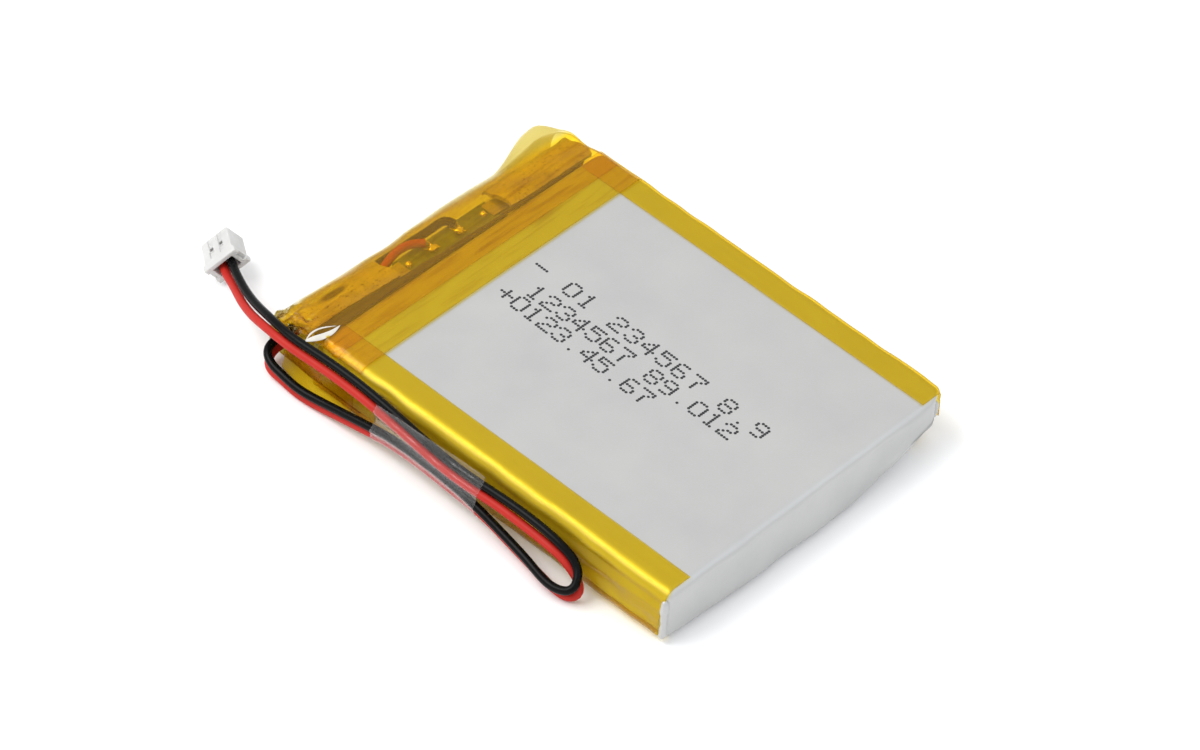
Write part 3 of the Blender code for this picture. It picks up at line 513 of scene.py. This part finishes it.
def soft_shape(points):
    """Small unevenness that everything wrapped on the pouch shares: a crown, dents and slack walls."""
    moved = points.copy()
    x, y, z = points[:, 0], points[:, 1], points[:, 2]
    top = ramp(z, 5.0, 7.5)
    inner = np.clip(1 - (x / 24.5) ** 2, 0, 1) * np.clip(1 - ((y + 1.7) / 31.0) ** 2, 0, 1)
    moved[:, 2] += top * (0.16 * inner + 0.035 * waves(points * (1, 1, 0), 17.0, 3) * ramp(inner, 0.0, 0.3))
    side = np.sign(x) * ramp(np.abs(x), 22.0, 24.5)
    moved[:, 0] += side * (0.07 * waves(points, 9.0, 5) + 0.05 * waves(points, 4.0, 6))
    front = ramp(-y, 27.0, 29.9)
    span = np.clip(1 - (x / 25.0) ** 2, 0, 1)
    lean = np.clip((TOP - z) / (TOP - BOTTOM), 0, 1)
    # the lower cup tapers at the far corner of the closed end
    moved[:, 2] += (3.4 * np.clip((x - 9.0) / 15.3, 0, 1) ** 1.2 * ramp(-y, 27.4, 29.6)
                    * ramp(SEAM_Z - z, 0.0, 3.0))
    moved[:, 1] -= front * (0.95 * lean**0.8 * span**0.5 + 0.10 * waves(points, 7.0, 8) * ramp(lean, 0.02, 0.2))
    return moved


SEAL_SWELL = ((3.0, 0.0), (4.6, 0.2), (5.4, 0.45), (6.2, 0.65), (7.0, 0.85), (7.6, 0.98), (7.87, 1.0))
SWELL_REACH, SWELL_FROM = 1.04, 21.5     # how far it stands out at the top, and the X where it starts


def seal_swell(y, z):
    """How far the folded seal pushes the far wall out, by height."""
    return SWELL_REACH * np.interp(z, *np.array(SEAL_SWELL).T) * ramp(y, -30.3, -28.4)


def pouch_shape(points):
    """A block's points moved to the pouch's rounded edges, swell and dents."""
    x, y, z = (points[:, axis].copy() for axis in range(3))
    for side in (-1, 1):
        for height, up in ((TOP, 1), (-BOTTOM, -1)):
            x, z = round_corner(x, z, WALL, height, FAR_EDGE if side > 0 < up else LONG_EDGE, side, up)
    for height, up, radius in ((TOP, 1, 1.0), (-BOTTOM, -1, 1.2)):
        for end, away in ((-FRONT, -1), (BACK, 1)):
            y, z = round_corner(y, z, end, height, radius if away < 0 else 0.9, away, up)
    for side, reach in ((-1, 0.9), (1, 1.6)):
        x, y = round_corner(x, y, WALL, -FRONT, reach, side, -1)
        x, y = round_corner(x, y, WALL, BACK, 1.5, side, 1)
    # the folded seal stands out from the far wall, and dies away towards the closed end
    x += ramp(x, SWELL_FROM, WALL) * seal_swell(y, z)
    return soft_shape(np.stack([x, y, z], axis=1))


lattice("pouch_skin", "pouch_laminate",
        (stations(-WALL, WALL, 3.2, 0.2, 0.6), stations(FRONT, BACK, 3.2, 0.2, 0.6),
         stations(BOTTOM, TOP, 2.4, 0.2, 0.4)), pouch_shape, laminate)

# the pouch's two sheets run on under the terrace
for sheet_name, level in (("terrace_sheet_upper", 4.45), ("terrace_sheet_lower", 3.75)):
    sheet = np.zeros((60, 12, 3))
    sheet[..., 0] = np.linspace(-23.9, 23.9, 60)[:, None]
    sheet[..., 1] = np.linspace(26.3, 31.1, 12)[None, :]
    sheet[..., 2] = level + 0.05 * waves(sheet.reshape(-1, 3), 6.0, 71).reshape(60, 12)
    film(sheet_name, "pouch_laminate", sheet, laminate, thickness=0.15)


def bead(name, route, width, depth, count=60, sides=16):
    """The laminate's folded seal where it turns the corner of the closed end: a closed, lumpy rib."""
    verts = []
    for t, here in zip(np.linspace(0.0, 1.0, count), resample(route, count=count)):
        swell = math.sqrt(max(1 - abs(2 * t - 1) ** 6, 0.02)) * (1 + 0.12 * math.sin(9 * t) + 0.06 * math.sin(31 * t))
        for turn in circle(sides):
            verts.append((here[0] + width / 2 * swell * math.cos(turn), here[1] + depth / 2 * swell * math.sin(turn),
                          here[2]))
    piece_from(name, "pouch_laminate", verts, tube_faces(count, sides), laminate, angle=60)


bead("corner_bead_near", ((-24.35, -29.55, 6.9), (-24.5, -29.75, 5.0), (-24.45, -29.85, 3.0), (-24.3, -29.75, 0.55)),
     1.1, 0.9)
bead("corner_bead_far", ((23.95, -29.3, 6.7), (24.1, -29.45, 5.9), (24.05, -29.5, 4.9), (23.85, -29.35, 4.1)),
     0.9, 0.8)

# --------------------------------------------------------------------------------------------------
# printed marks: generic digits and polarity signs in a 5 by 7 dot font
# --------------------------------------------------------------------------------------------------
GLYPHS = {
    "0": ("01110", "10001", "10001", "10001", "10001", "10001", "01110"),
    "1": ("00100", "01100", "00100", "00100", "00100", "00100", "01110"),
    "2": ("01110", "10001", "00001", "00110", "01000", "10000", "11111"),
    "3": ("01110", "10001", "00001", "00110", "00001", "10001", "01110"),
    "4": ("00010", "00110", "01010", "10010", "11111", "00010", "00010"),
    "5": ("11111", "10000", "11110", "00001", "00001", "10001", "01110"),
    "6": ("01110", "10000", "10000", "11110", "10001", "10001", "01110"),
    "7": ("11111", "00001", "00010", "00100", "00100", "00100", "00100"),
    "8": ("01110", "10001", "10001", "01110", "10001", "10001", "01110"),
    "9": ("01110", "10001", "10001", "01111", "00001", "00001", "01110"),
    "-": ("00000", "00000", "00000", "11111", "00000", "00000", "00000"),
    "+": ("00000", "00100", "00100", "11111", "00100", "00100", "00000"),
    ".": ("00000", "00000", "00000", "00000", "00000", "00000", "00100"),
    " ": ("00000",) * 7,
}
PRINT_LINES = (     # text, where its first dot column starts, where its last character starts
    ("- 01 234567 8.9", (4.6, 18.0), (3.6, -18.3)),
    ("1234567 89.012", (0.9, 15.4), (0.7, -15.8)),
    ("+0123.45.67", (-1.9, 17.7), (-2.5, -5.2)),
)
CHARACTER_WIDTH, CHARACTER_HEIGHT = 1.7, 2.2
DOT, INK = 0.20, 0.012                # radius and thickness of a dot


def top_height(x, y):
    """Height of the pouch's top face at a place on it."""
    spots = np.array([[x, y, TOP]])
    return soft_shape(spots)[0, 2]


def printed_marks():
    """Every dot as a thin disc just above the top face."""
    verts, faces = [], []
    for text, start, last in PRINT_LINES:
        start, last = np.array(start), np.array(last)
        step = (last - start) / (len(text) - 1)
        along = step / np.linalg.norm(step)
        upward_2d = np.array([-along[1], along[0]])
        for place, sign in enumerate(text):
            for row, bits in enumerate(GLYPHS[sign]):
                for column, bit in enumerate(bits):
                    if bit == "0":
                        continue
                    spot = (start + step * place + along * CHARACTER_WIDTH * column / 4
                            + upward_2d * CHARACTER_HEIGHT * (0.5 - row / 6))
                    z = top_height(*spot) + 0.004
                    faces += tube_faces(2, 8, len(verts))
                    for lift in (0.0, INK):
                        for turn in circle(8):
                            verts.append((spot[0] + DOT * math.cos(turn), spot[1] + DOT * math.sin(turn), z + lift))
    piece_from("print_dots", None, verts, faces, ink, smooth=False)


printed_marks()

# --------------------------------------------------------------------------------------------------
# amber tapes
# --------------------------------------------------------------------------------------------------
TAPE_WALL = 24.95                   # outermost face of a side tape
TAPE_ENDS = (-29.6, 26.4)           # at the closed end and under the wrap
# section of a side tape, from its top edge round the wall to its bottom edge: (distance in, height)
SIDE_SECTION = ((-4.75, 7.96), (-3.4, 7.96), (-2.2, 7.95), (-1.3, 7.78), (-0.66, 7.28), (-0.40, 6.6), (-0.42, 6.0),
                (-0.10, 5.5), (-0.02, 4.8), (0.0, 3.6), (-0.02, 2.2), (-0.08, 1.4), (-0.42, 0.72), (-1.1, 0.30),
                (-2.0, 0.24), (-4.75, 0.22))
# the far side's shoulder is squarer: the folded seal stands out beneath the tape
FAR_SECTION = ((-4.75, 7.96), (-3.0, 7.96), (-2.0, 7.95), (-1.3, 7.94), (-0.95, 7.90), (-0.72, 7.78), (-0.58, 7.55),
               (-0.50, 7.2), (-0.42, 6.6), (-0.34, 6.0), (-0.22, 5.4), (-0.1, 4.6), (0.0, 3.6), (-0.02, 2.2),
               (-0.08, 1.4), (-0.42, 0.72), (-1.1, 0.30), (-2.0, 0.24), (-4.75, 0.22))


def side_tape(name, replaced, side, lap, profile):
    """A tape round one long wall, from its lap line on the top face to the one below."""
    section = np.array(profile)
    section[0, 0] = section[-1, 0] = lap - TAPE_WALL
    section = resample(section, count=72)
    along = stations(*TAPE_ENDS, 2.0, 0.25, 0.5)
    grid = np.zeros((len(along), len(section), 3))
    grid[..., 0] = side * (TAPE_WALL + section[None, :, 0])
    grid[..., 1] = along[:, None]
    grid[..., 2] = section[None, :, 1]
    flat = grid.reshape(-1, 3)
    # its lower corner is cut back at the closed end
    flat[:, 1] += 1.3 * ramp(1.6 - flat[:, 2], 0.0, 1.2) * ramp(-flat[:, 1], 27.0, -TAPE_ENDS[0])
    if side > 0:
        flat[:, 0] += ramp(flat[:, 0], SWELL_FROM, WALL) * seal_swell(flat[:, 1], flat[:, 2])
    flat = soft_shape(flat)
    # slack in the upright part: long shallow folds that run along the wall
    upright = ramp(flat[:, 2], 0.6, 2.0) * ramp(7.2 - flat[:, 2], 0.0, 1.5)
    flat[:, 0] += side * 0.07 * upright * waves(flat * (1, 0.12, 1), 1.6, 41)
    # and a few faint ridges along the shoulder
    flat[:, 2] += 0.04 * ramp(flat[:, 2], 7.4, 7.9) * np.maximum(waves(flat * (1, 0.08, 1), 1.3, 42), 0)
    film(name, replaced, flat.reshape(grid.shape), amber)


side_tape("tape_near_side", "side_tape_near", -1, 20.2, SIDE_SECTION)
side_tape("tape_far_side", "side_tape_far", 1, 21.3, FAR_SECTION)

# the wrap round the tab end: its section in the YZ plane, outer layer, and its sides
WRAP_SECTION = ((19.6, 8.12), (23.5, 8.12), (26.3, 8.10), (27.2, 7.95), (28.6, 7.75), (30.4, 7.72), (31.8, 7.62),
                (33.0, 6.95), (33.8, 5.9), (34.3, 4.4), (34.35, 2.9), (34.2, 1.5), (33.3, 0.55), (31.5, 0.2),
                (28.5, 0.06), (26.0, 0.03), (19.6, 0.03))
WRAP_SIDES = (-24.5, 25.5)
NEAR_SHOULDER, FAR_SHOULDER = (-22.7, 1.7), (24.4, 0.9)     # where the wrap turns over, its radius there


def wrap(name, replaced, lap, inset, fin_height):
    """One layer of the wrap, from the lap line on the top face round the tab end to the one below."""
    section = np.array(WRAP_SECTION)
    section[0, 0] = section[-1, 0] = lap
    centre = np.array([28.0, 4.1])
    section = resample(section, count=120)
    tangent = np.gradient(section, axis=0)
    normal = np.stack([-tangent[:, 1], tangent[:, 0]], axis=1)
    normal /= np.linalg.norm(normal, axis=1)[:, None]
    section = section - normal * inset * np.sign(((section - centre) * normal).sum(axis=1))[:, None]
    across = stations(*WRAP_SIDES, 2.0, 0.25, 0.5)
    grid = np.zeros((len(across), len(section), 3))
    grid[..., 0] = across[:, None]
    grid[..., 1] = section[None, :, 0]
    grid[..., 2] = section[None, :, 1]
    flat = grid.reshape(-1, 3)
    moved = soft_shape(flat)
    x, y, z = flat.T
    over = ramp(y, 27.0, 28.5)
    # its side edges turn over the pouch's long edges
    for side, (start, radius) in ((-1, NEAR_SHOULDER), (1, FAR_SHOULDER)):
        turned = np.clip(side * (x - start), 0, None) / radius
        moved[:, 0] -= side * radius * (turned - np.sin(turned))
        moved[:, 2] += radius * (1 - np.cos(turned)) * (ramp(2.2 - z, 0.0, 1.8) - ramp(z, 5.0, 7.2))
    # loose film over the terrace: long shallow ripples along X, finer ones towards the outer edge
    ripple = 0.16 * waves(flat * (0.35, 1, 1), 5.0, 21) + 0.07 * waves(flat * (0.5, 1, 1), 2.2, 22)
    moved[:, 2] += over * ramp(z, 3.0, 7.0) * ripple
    # towards the far end the film stands up and out as a thin fin
    fin = fin_height * ramp(x, 13.0, 20.5) * ramp(y, 29.0, 33.5) * ramp(z, 3.5, 6.5)
    moved[:, 2] += fin * (1.75 - 1.15 * ramp(x, 22.4, 25.3))
    moved[:, 1] += fin * 1.3 * (1 - 1.3 * ramp(x, 21.8, 24.8)) + 0.15 * over * ramp(5.0 - x, 0.0, 8.0)
    # creases where it was pressed over the near shoulder
    crease = ramp(-x, 22.2, 23.6) * ramp(y, 20.5, 24.0) * ramp(z, 5.5, 7.0)
    moved[:, 2] += crease * 0.22 * np.abs(waves(flat * (1.0, 1.0, 0.3), 1.7, 27))
    moved[:, 0] -= crease * 0.18 * np.abs(waves(flat, 1.1, 28))
    # and the near corner is crumpled
    crush = ramp(-x, 19.5, 23.5) * ramp(y, 28.6, 30.2) * ramp(z, 3.0, 6.0)
    moved[:, 2] += crush * (0.42 * waves(flat, 1.9, 24) + 0.2 * waves(flat, 0.8, 25) - 0.2)
    moved[:, 1] += crush * 0.25 * waves(flat, 1.6, 26)
    moved[:, 1] += over * ramp(7.4 - z, 0.0, 2.0) * (0.25 * waves(flat * (1, 0, 0.6), 8.0, 23))
    film(name, replaced, moved.reshape(grid.shape), amber_wrap)


wrap("tape_wrap_outer", "terrace_tape_outer", 19.6, 0.0, 1.0)
wrap("tape_wrap_inner", "terrace_tape_inner", 23.2, 0.11, 0.25)


def free_film(name, replaced, rows, counts, material, thickness=FILM):
    """A sheet through rows of given points, smoothed both ways."""
    lines = [resample(row, count=counts[1]) for row in rows]
    columns = [resample([line[k] for line in lines], count=counts[0]) for k in range(counts[1])]
    grid = np.stack(columns, axis=1)
    film(name, replaced, grid, material, thickness)


# top edge of the insulation board behind the terrace: (place along the cell, how far it leans back)
STRIP_TOP = ((-23.6, 1.8), (-18.0, 1.85), (-9.0, 1.35), (0.0, 1.05), (5.0, 0.95), (12.0, 0.6), (22.6, 0.25))

# cushions of foam over the folded tabs, either side of the board: (Y, height), their outer edge rounded down
CUSHION_TOP = ((27.3, 7.30), (28.6, 7.22), (30.4, 7.16), (31.6, 7.02), (32.5, 6.62), (33.1, 5.95))
CUSHION_SPAN = (27.3, 33.1)
CUSHION_DEPTH = 0.55


def cushion(name, replaced, low_x, high_x, reach):
    """A soft slab under the wrap, from the insulation board out to `reach`."""
    start, end = CUSHION_SPAN

    def shape(points):
        moved = points.copy()
        x, y, z = points.T
        along = (y - start) / (end - start)
        out = start + along * (reach - start)
        top = np.interp(y, *np.array(CUSHION_TOP).T)
        moved[:, 1] = np.maximum(out, 26.85 + np.interp(x, *np.array(STRIP_TOP).T))
        moved[:, 1] += 0.12 * waves(points * (1, 0, 0), 3.0, 81) * ramp(along, 0.7, 1.0)
        moved[:, 2] = top + (z - 1.0) * CUSHION_DEPTH + 0.05 * waves(points, 1.6, 82)
        moved[:, 0] += 0.25 * waves(points * (0, 1, 0), 2.2, 83)
        return moved
    axes = (stations(low_x, high_x, 1.0, 0.2, 0.35), stations(*CUSHION_SPAN, 1.0, 0.2, 0.3), np.linspace(0.0, 1.0, 4))
    lattice(name, replaced, axes, shape, foam, angle=50)


def foam_base(name, replaced):
    """The foam under the folded tab, as CAD has it, with a soft uneven surface."""
    low, high = (np.array(corner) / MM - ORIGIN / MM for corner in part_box(replaced))
    lattice(name, replaced, [np.linspace(a, b, max(int((b - a) / 0.3), 3)) for a, b in zip(low, high)],
            lambda points: points + 0.02 * waves(points, 1.2, 84)[:, None], foam, angle=50)


for side_name, low_x, high_x, reach_y in (("near", -23.2, -8.7, 33.0), ("far", 10.4, 24.75, 32.4)):
    foam_base(f"foam_base_{side_name}", f"terrace_foam_{side_name}")
    cushion(f"cushion_{side_name}", f"terrace_foam_{side_name}", low_x, high_x, reach_y)


MOUND = (0.70, 0.60, 0.36)          # half sizes of a solder mound
STRAND = 0.085                      # radius of a bared strand at its root
STRAND_SPREAD = (-0.55, -0.2, 0.15, 0.5, 2.3, 3.5)      # turned from the lead's way, in radians


def splayed_joint(name, replaced, spot, toward, seed):
    """A solder joint as made by hand: a lumpy mound with the bared strands fanned out beside it."""
    rows, sides = 13, 28
    mound = np.array([(math.sin(tilt) * math.cos(turn), math.sin(tilt) * math.sin(turn), math.cos(tilt))
                      for tilt in np.linspace(0.0, math.pi, rows) for turn in circle(sides)]) * MOUND
    mound *= (1 + 0.13 * waves(mound, 0.8, seed))[:, None]
    verts = (mound + (*spot, 6.58)).tolist()
    faces = tube_faces(rows, sides)
    steps, sides = 9, 6
    for number, spread in enumerate(STRAND_SPREAD):
        turn, length = math.atan2(toward[1], toward[0]) + spread, 1.25 if abs(spread) < 1 else 0.85
        way = np.array([math.cos(turn), math.sin(turn), 0.0])
        across, up = np.array([-way[1], way[0], 0.0]), np.array([0.0, 0.0, 1.0])
        faces += tube_faces(steps, sides, len(verts))
        for t in np.linspace(0.0, 1.0, steps):
            here = np.array([*spot, 6.62]) + way * length * t + 0.22 * math.sin(2.6 * t + number) * up
            for angle in circle(sides):
                verts.append(here + STRAND * (1 - 0.4 * t) * (across * math.cos(angle) + up * math.sin(angle)))
    piece_from(name, replaced, verts, faces, solder, angle=60)


splayed_joint("joint_red", "solder_joint_red", (-1.6, 29.3), (-0.5, 1.0), 91)
splayed_joint("joint_black", "solder_joint_black", (3.0, 29.3), (0.0, 1.0), 92)

# the end of the wrap left standing proud beside the leads' exit
free_film("tape_flap", "lead_exit_tape", (
    ((-24.9, 19.7, 5.2), (-25.05, 19.8, 3.4), (-25.0, 19.9, 1.6), (-25.2, 20.0, 0.8)),
    ((-24.9, 22.9, 5.3), (-25.15, 22.9, 3.6), (-25.4, 22.9, 1.8), (-25.7, 22.9, 0.7)),
    ((-24.9, 25.0, 5.3), (-25.3, 25.0, 3.6), (-25.9, 25.0, 1.6), (-26.35, 25.0, 0.35)),
    ((-24.8, 28.0, 5.3), (-25.1, 28.0, 3.6), (-25.5, 28.0, 1.6), (-25.9, 28.0, 0.35)),
    ((-24.6, 31.4, 5.3), (-24.8, 31.4, 3.6), (-24.9, 31.4, 1.6), (-25.1, 31.4, 0.4)),
), (60, 24), amber)


def tape_gusset():
    """Above the flap, crumpled film closes the near end of the wrap where the leads come out."""
    rows = []
    for y in np.linspace(27.2, 33.4, 9):
        x, top = -24.45 - 0.25 * math.sin(1.9 * y), 7.75 - 0.14 * max(y - 29.0, 0.0) ** 1.5
        rows.append(resample([(x, y, z) for z in (top, 6.6, 5.6, 4.6)], count=40))
    grid = np.stack([resample([row[k] for row in rows], count=110) for k in range(40)], axis=1)
    flat = grid.reshape(-1, 3)
    flat[:, 0] += 0.22 * waves(flat, 1.5, 29) + 0.10 * waves(flat, 0.7, 30)
    flat[:, 0] = np.clip(flat[:, 0], -25.05, None)
    film("tape_gusset", "lead_exit_tape", grid, amber)


tape_gusset()

# clear tape that holds the four runs of lead to the wall, drawn tight round them
HOLD_SPAN = (-2.2, 14.8)
HOLD_HEIGHTS = (7.45, 0.62)
HOLD_GAP, HOLD_BRIDGE = 0.06, 1.3   # its clearance, and the radius it bridges hollows with
WALL_PROFILE = ((0.6, -24.7), (1.6, -25.0), (4.8, -25.0), (5.6, -24.9), (6.2, -24.55), (7.0, -24.45), (7.45, -24.1),
                (7.7, -23.7))


def crossings(points, y):
    """Where a lead's runs cross the plane at y: (x, z) of each."""
    found = []
    for a, b in zip(points[:-1], points[1:]):
        if (a[1] - y) * (b[1] - y) <= 0 and a[1] != b[1]:
            t = (y - a[1]) / (b[1] - a[1])
            found.append((a[0] + t * (b[0] - a[0]), a[2] + t * (b[2] - a[2])))
    return found


def drawn_tight(reach, heights, ball):
    """A profile closed by a ball: it bridges hollows narrower than the ball."""
    apart = heights[:, None] - heights[None, :]
    cap = np.where(np.abs(apart) <= ball, np.sqrt(np.maximum(ball**2 - apart**2, 0)), -np.inf)
    rolled = (reach[None, :] + cap).max(axis=1)
    return (rolled[None, :] - np.where(np.isinf(cap), -np.inf, cap)).min(axis=1)


def holding_tape():
    heights = np.linspace(*HOLD_HEIGHTS, 110)
    rows = []
    skin = LEAD / 2 + HOLD_GAP
    wall = np.interp(heights, *np.array(WALL_PROFILE).T)
    for y in np.linspace(*HOLD_SPAN, 70):
        reach = HOLD_GAP - wall
        for points in (black_points, red_points):
            for x, z in crossings(points, y):
                rise = skin**2 - (heights - z) ** 2
                reach = np.where(rise > 0, np.maximum(reach, -x + np.sqrt(np.maximum(rise, 0))), reach)
        reach = drawn_tight(reach, heights, HOLD_BRIDGE)
        soft = np.convolve(np.pad(reach, 2, mode="edge"), np.ones(5) / 5, mode="valid")
        rows.append(np.stack([-soft, np.full_like(heights, y), heights], axis=1))
    grid = np.array(rows)
    wrinkle = waves(grid.reshape(-1, 3) * (1, 0.25, 1), 0.9, 51).reshape(grid.shape[:2])
    grid[..., 0] -= 0.025 * np.maximum(wrinkle, 0)
    film("tape_clear", "lead_retaining_tape", grid, clear_film)


holding_tape()


def insulation_strip():
    """The board behind the terrace: it leans back at the near end and stands upright at the far end."""
    grid = np.zeros((90, 9, 3))
    across = np.linspace(STRIP_TOP[0][0], STRIP_TOP[-1][0], 90)
    lean = np.interp(across, *np.array(STRIP_TOP).T)[:, None]
    drop = np.linspace(0.0, 1.0, 9)
    grid[..., 0] = across[:, None]
    grid[..., 1] = 26.75 + lean * drop
    grid[..., 2] = 7.50 - 0.25 * drop - (1 - lean / 1.9) * drop**3
    grid[..., 1:] += 0.03 * waves(grid.reshape(-1, 3), 2.5, 61).reshape(90, 9, 1)
    # its near-black colour is painted shade for the gap it stands in
    film("insulation_strip", "insulation_paper", grid, shade_dark_grey_board, thickness=0.10)


insulation_strip()

# its near end is torn and curls up white: a broad leaf below, a thin lip above, a dark hollow between
free_film("insulation_scrap", "insulation_paper", (
    ((-20.9, 26.45, 8.22), (-22.2, 26.50, 8.30), (-23.5, 26.80, 8.32), (-24.7, 27.30, 8.22), (-25.5, 27.65, 7.95)),
    ((-20.9, 26.42, 8.21), (-22.3, 26.20, 8.26), (-23.6, 26.35, 8.28), (-24.9, 27.00, 8.15), (-25.6, 27.55, 7.90)),
    ((-20.9, 26.40, 8.20), (-22.4, 25.98, 8.17), (-23.7, 26.05, 8.16), (-25.0, 26.75, 8.00), (-25.6, 27.45, 7.85)),
), (10, 60), paper, thickness=0.06)
free_film("insulation_lip", "insulation_paper", (
    ((-21.4, 26.75, 8.22), (-22.4, 27.35, 8.30), (-23.5, 27.85, 8.25), (-24.6, 27.95, 8.05), (-25.45, 27.65, 7.85)),
    ((-21.3, 26.65, 8.22), (-22.4, 27.15, 8.32), (-23.5, 27.60, 8.28), (-24.6, 27.72, 8.08), (-25.5, 27.60, 7.88)),
), (6, 60), paper, thickness=0.06)

# --------------------------------------------------------------------------------------------------
# connector
# --------------------------------------------------------------------------------------------------
CONNECTOR_AT = (-19.95, 45.95, 3.25)                # middle of the rear rim
CONNECTOR_HEADING, CONNECTOR_ROLL = 36.0, 45.0      # degrees, from +Y towards +X and about its own length
# shell sections from the rear rim to the nose: (Y, width, height), Z across its narrow side
SHELL_SECTIONS = ((0.0, 4.9, 3.0), (0.3, 5.0, 3.1), (0.75, 4.9, 3.1), (1.1, 4.3, 3.0), (4.2, 4.25, 3.0),
                  (4.6, 3.9, 2.65))
HALF_PITCH = 0.75                   # from the middle to each cavity


def blank_mesh(sections, middle=(0.0, 0.0)):
    """A closed mesh through rectangular sections, their middle at an X and Z."""
    verts = [(middle[0] + sx * width / 2, y, middle[1] + sz * height / 2) for y, width, height in sections
             for sx, sz in ((-1, -1), (1, -1), (1, 1), (-1, 1))]
    mesh = bpy.data.meshes.new("blank")
    mesh.from_pydata(verts, [], tube_faces(len(sections), 4))
    outward(mesh)
    return mesh


def box_mesh(low, high):
    middle = (low[0] + high[0]) / 2, (low[2] + high[2]) / 2
    return blank_mesh([(y, high[0] - low[0], high[2] - low[2]) for y in (low[1], high[1])], middle)


def machined(name, replaced, blank, boxes, edge, material, sharp=None):
    """A blank in the connector's own millimetres, less some boxes, its edges softened, put in its place."""
    blank, *cutters = (bpy.data.objects.new("blank", mesh) for mesh in (blank, *(box_mesh(*box) for box in boxes)))
    for rough in (blank, *cutters):
        bpy.context.collection.objects.link(rough)
    for cutter in cutters:
        cut = blank.modifiers.new("cut", "BOOLEAN")
        cut.object, cut.operation, cut.solver = cutter, "DIFFERENCE", "EXACT"
    bevel = blank.modifiers.new("soft_edges", "BEVEL")
    bevel.width, bevel.segments, bevel.limit_method = edge, 2, "ANGLE"
    solid = bpy.data.meshes.new_from_object(blank.evaluated_get(bpy.context.evaluated_depsgraph_get()))
    for rough in (blank, *cutters):
        bpy.data.objects.remove(rough, do_unlink=True)
    solid.transform(Matrix.Translation(Vector(world(CONNECTOR_AT)))
                    @ Matrix.Rotation(math.radians(-CONNECTOR_HEADING), 4, "Z")
                    @ Matrix.Rotation(math.radians(-CONNECTOR_ROLL), 4, "Y") @ Matrix.Scale(MM, 4))
    if sharp:
        solid.shade_smooth()
        solid.set_sharp_from_angle(angle=math.radians(sharp))
    solid.materials.clear()
    return register(name, solid, material, replaced)


def connector_housing():
    boxes = [((-1.55, -1.0, -0.93), (1.55, 1.5, 0.93))]                         # rear pocket
    for side in (-1, 1):
        x, ear = side * HALF_PITCH, side * 2.3
        boxes += [((x - 0.5, 0.8, -0.5), (x + 0.5, 6.0, 0.5)),                  # cavity
                  ((x - 0.30, 2.3, 0.4), (x + 0.30, 3.0, 2.0)),                 # lance window
                  ((x - 0.36, 3.0, 1.34), (x + 0.36, 5.0, 2.0)),                # groove to the nose
                  ((x - 0.36, 1.25, 1.38), (x + 0.36, 2.2, 2.0)),               # groove to the rim
                  ((ear - 0.35, -0.5, -0.7), (ear + 0.35, 0.45, 0.7))]          # notch in the rim
    return machined("connector_body", "connector_housing", blank_mesh(SHELL_SECTIONS), boxes, 0.10, nylon,
                    sharp=35)


def crimp_terminal(name, replaced, x):
    """A crimp terminal in its cavity: a box barrel with an open mouth and a lance on its back."""
    boxes = [((x - 0.26, 2.4, -0.26), (x + 0.26, 5.0, 0.26)), ((x - 0.26, 1.0, 0.0), (x + 0.26, 2.2, 1.0))]
    return machined(name, replaced, box_mesh((x - 0.4, 1.75, -0.4), (x + 0.4, 4.35, 0.4)), boxes, 0.04, bare_tin)


connector = connector_housing()
black_terminal = crimp_terminal("terminal_black", "crimp_terminal_black", HALF_PITCH)
red_terminal = crimp_terminal("terminal_red", "crimp_terminal_red", -HALF_PITCH)
for cord, points, length, terminal in ((black_piece, black_points, black_length, black_terminal),
                                       (red_piece, red_points, red_length, red_terminal)):
    tuple(world(points[0]))

# --------------------------------------------------------------------------------------------------
# floor, light
# --------------------------------------------------------------------------------------------------
FLOOR_REACH = 3.0                   # metres
floor_mesh = bpy.data.meshes.new("floor")
floor_mesh.from_pydata([(x * FLOOR_REACH, y * FLOOR_REACH, 0) for x, y in ((-1, -1), (1, -1), (1, 1), (-1, 1))], [],
                       [(0, 1, 2, 3)])
floor = bpy.data.objects.new("floor", floor_mesh)
bpy.context.collection.objects.link(floor)
floor_look = surface("floor_look", (0.93, 0.93, 0.93), (0.94, 0.94, 0.94), (0.8, 0.9), scale=20.0, bump=(0.02, 0.02))
floor_mesh.materials.append(floor_look)

sky = bpy.data.worlds.new("studio")
sky.use_nodes = True
sky.node_tree.nodes["Background"].inputs["Color"].default_value = (1.0, 1.0, 1.0, 1.0)
sky.node_tree.nodes["Background"].inputs["Strength"].default_value = 0.93
bpy.context.scene.world = sky


def softbox(name, place, size, power, colour=(1.0, 1.0, 1.0)):
    """A square area light that looks at the cell."""
    light = bpy.data.lights.new(name, "AREA")
    light.shape = "RECTANGLE"
    light.size = light.size_y = size
    light.energy = power
    light.color = colour
    lamp = bpy.data.objects.new(name, light)
    bpy.context.collection.objects.link(lamp)
    lamp.location = place
    lamp.rotation_euler = (-Vector(place)).to_track_quat("-Z", "Y").to_euler()


softbox("key_light", (-0.35, 0.30, 0.60), 0.5, 4.0)
softbox("fill_light", (0.30, -0.5, 0.50), 0.6, 0.8, (0.72, 0.84, 1.0))

scene = bpy.context.scene
scene.view_settings.view_transform = "Standard"
scene.cycles.transparent_max_bounces = 32
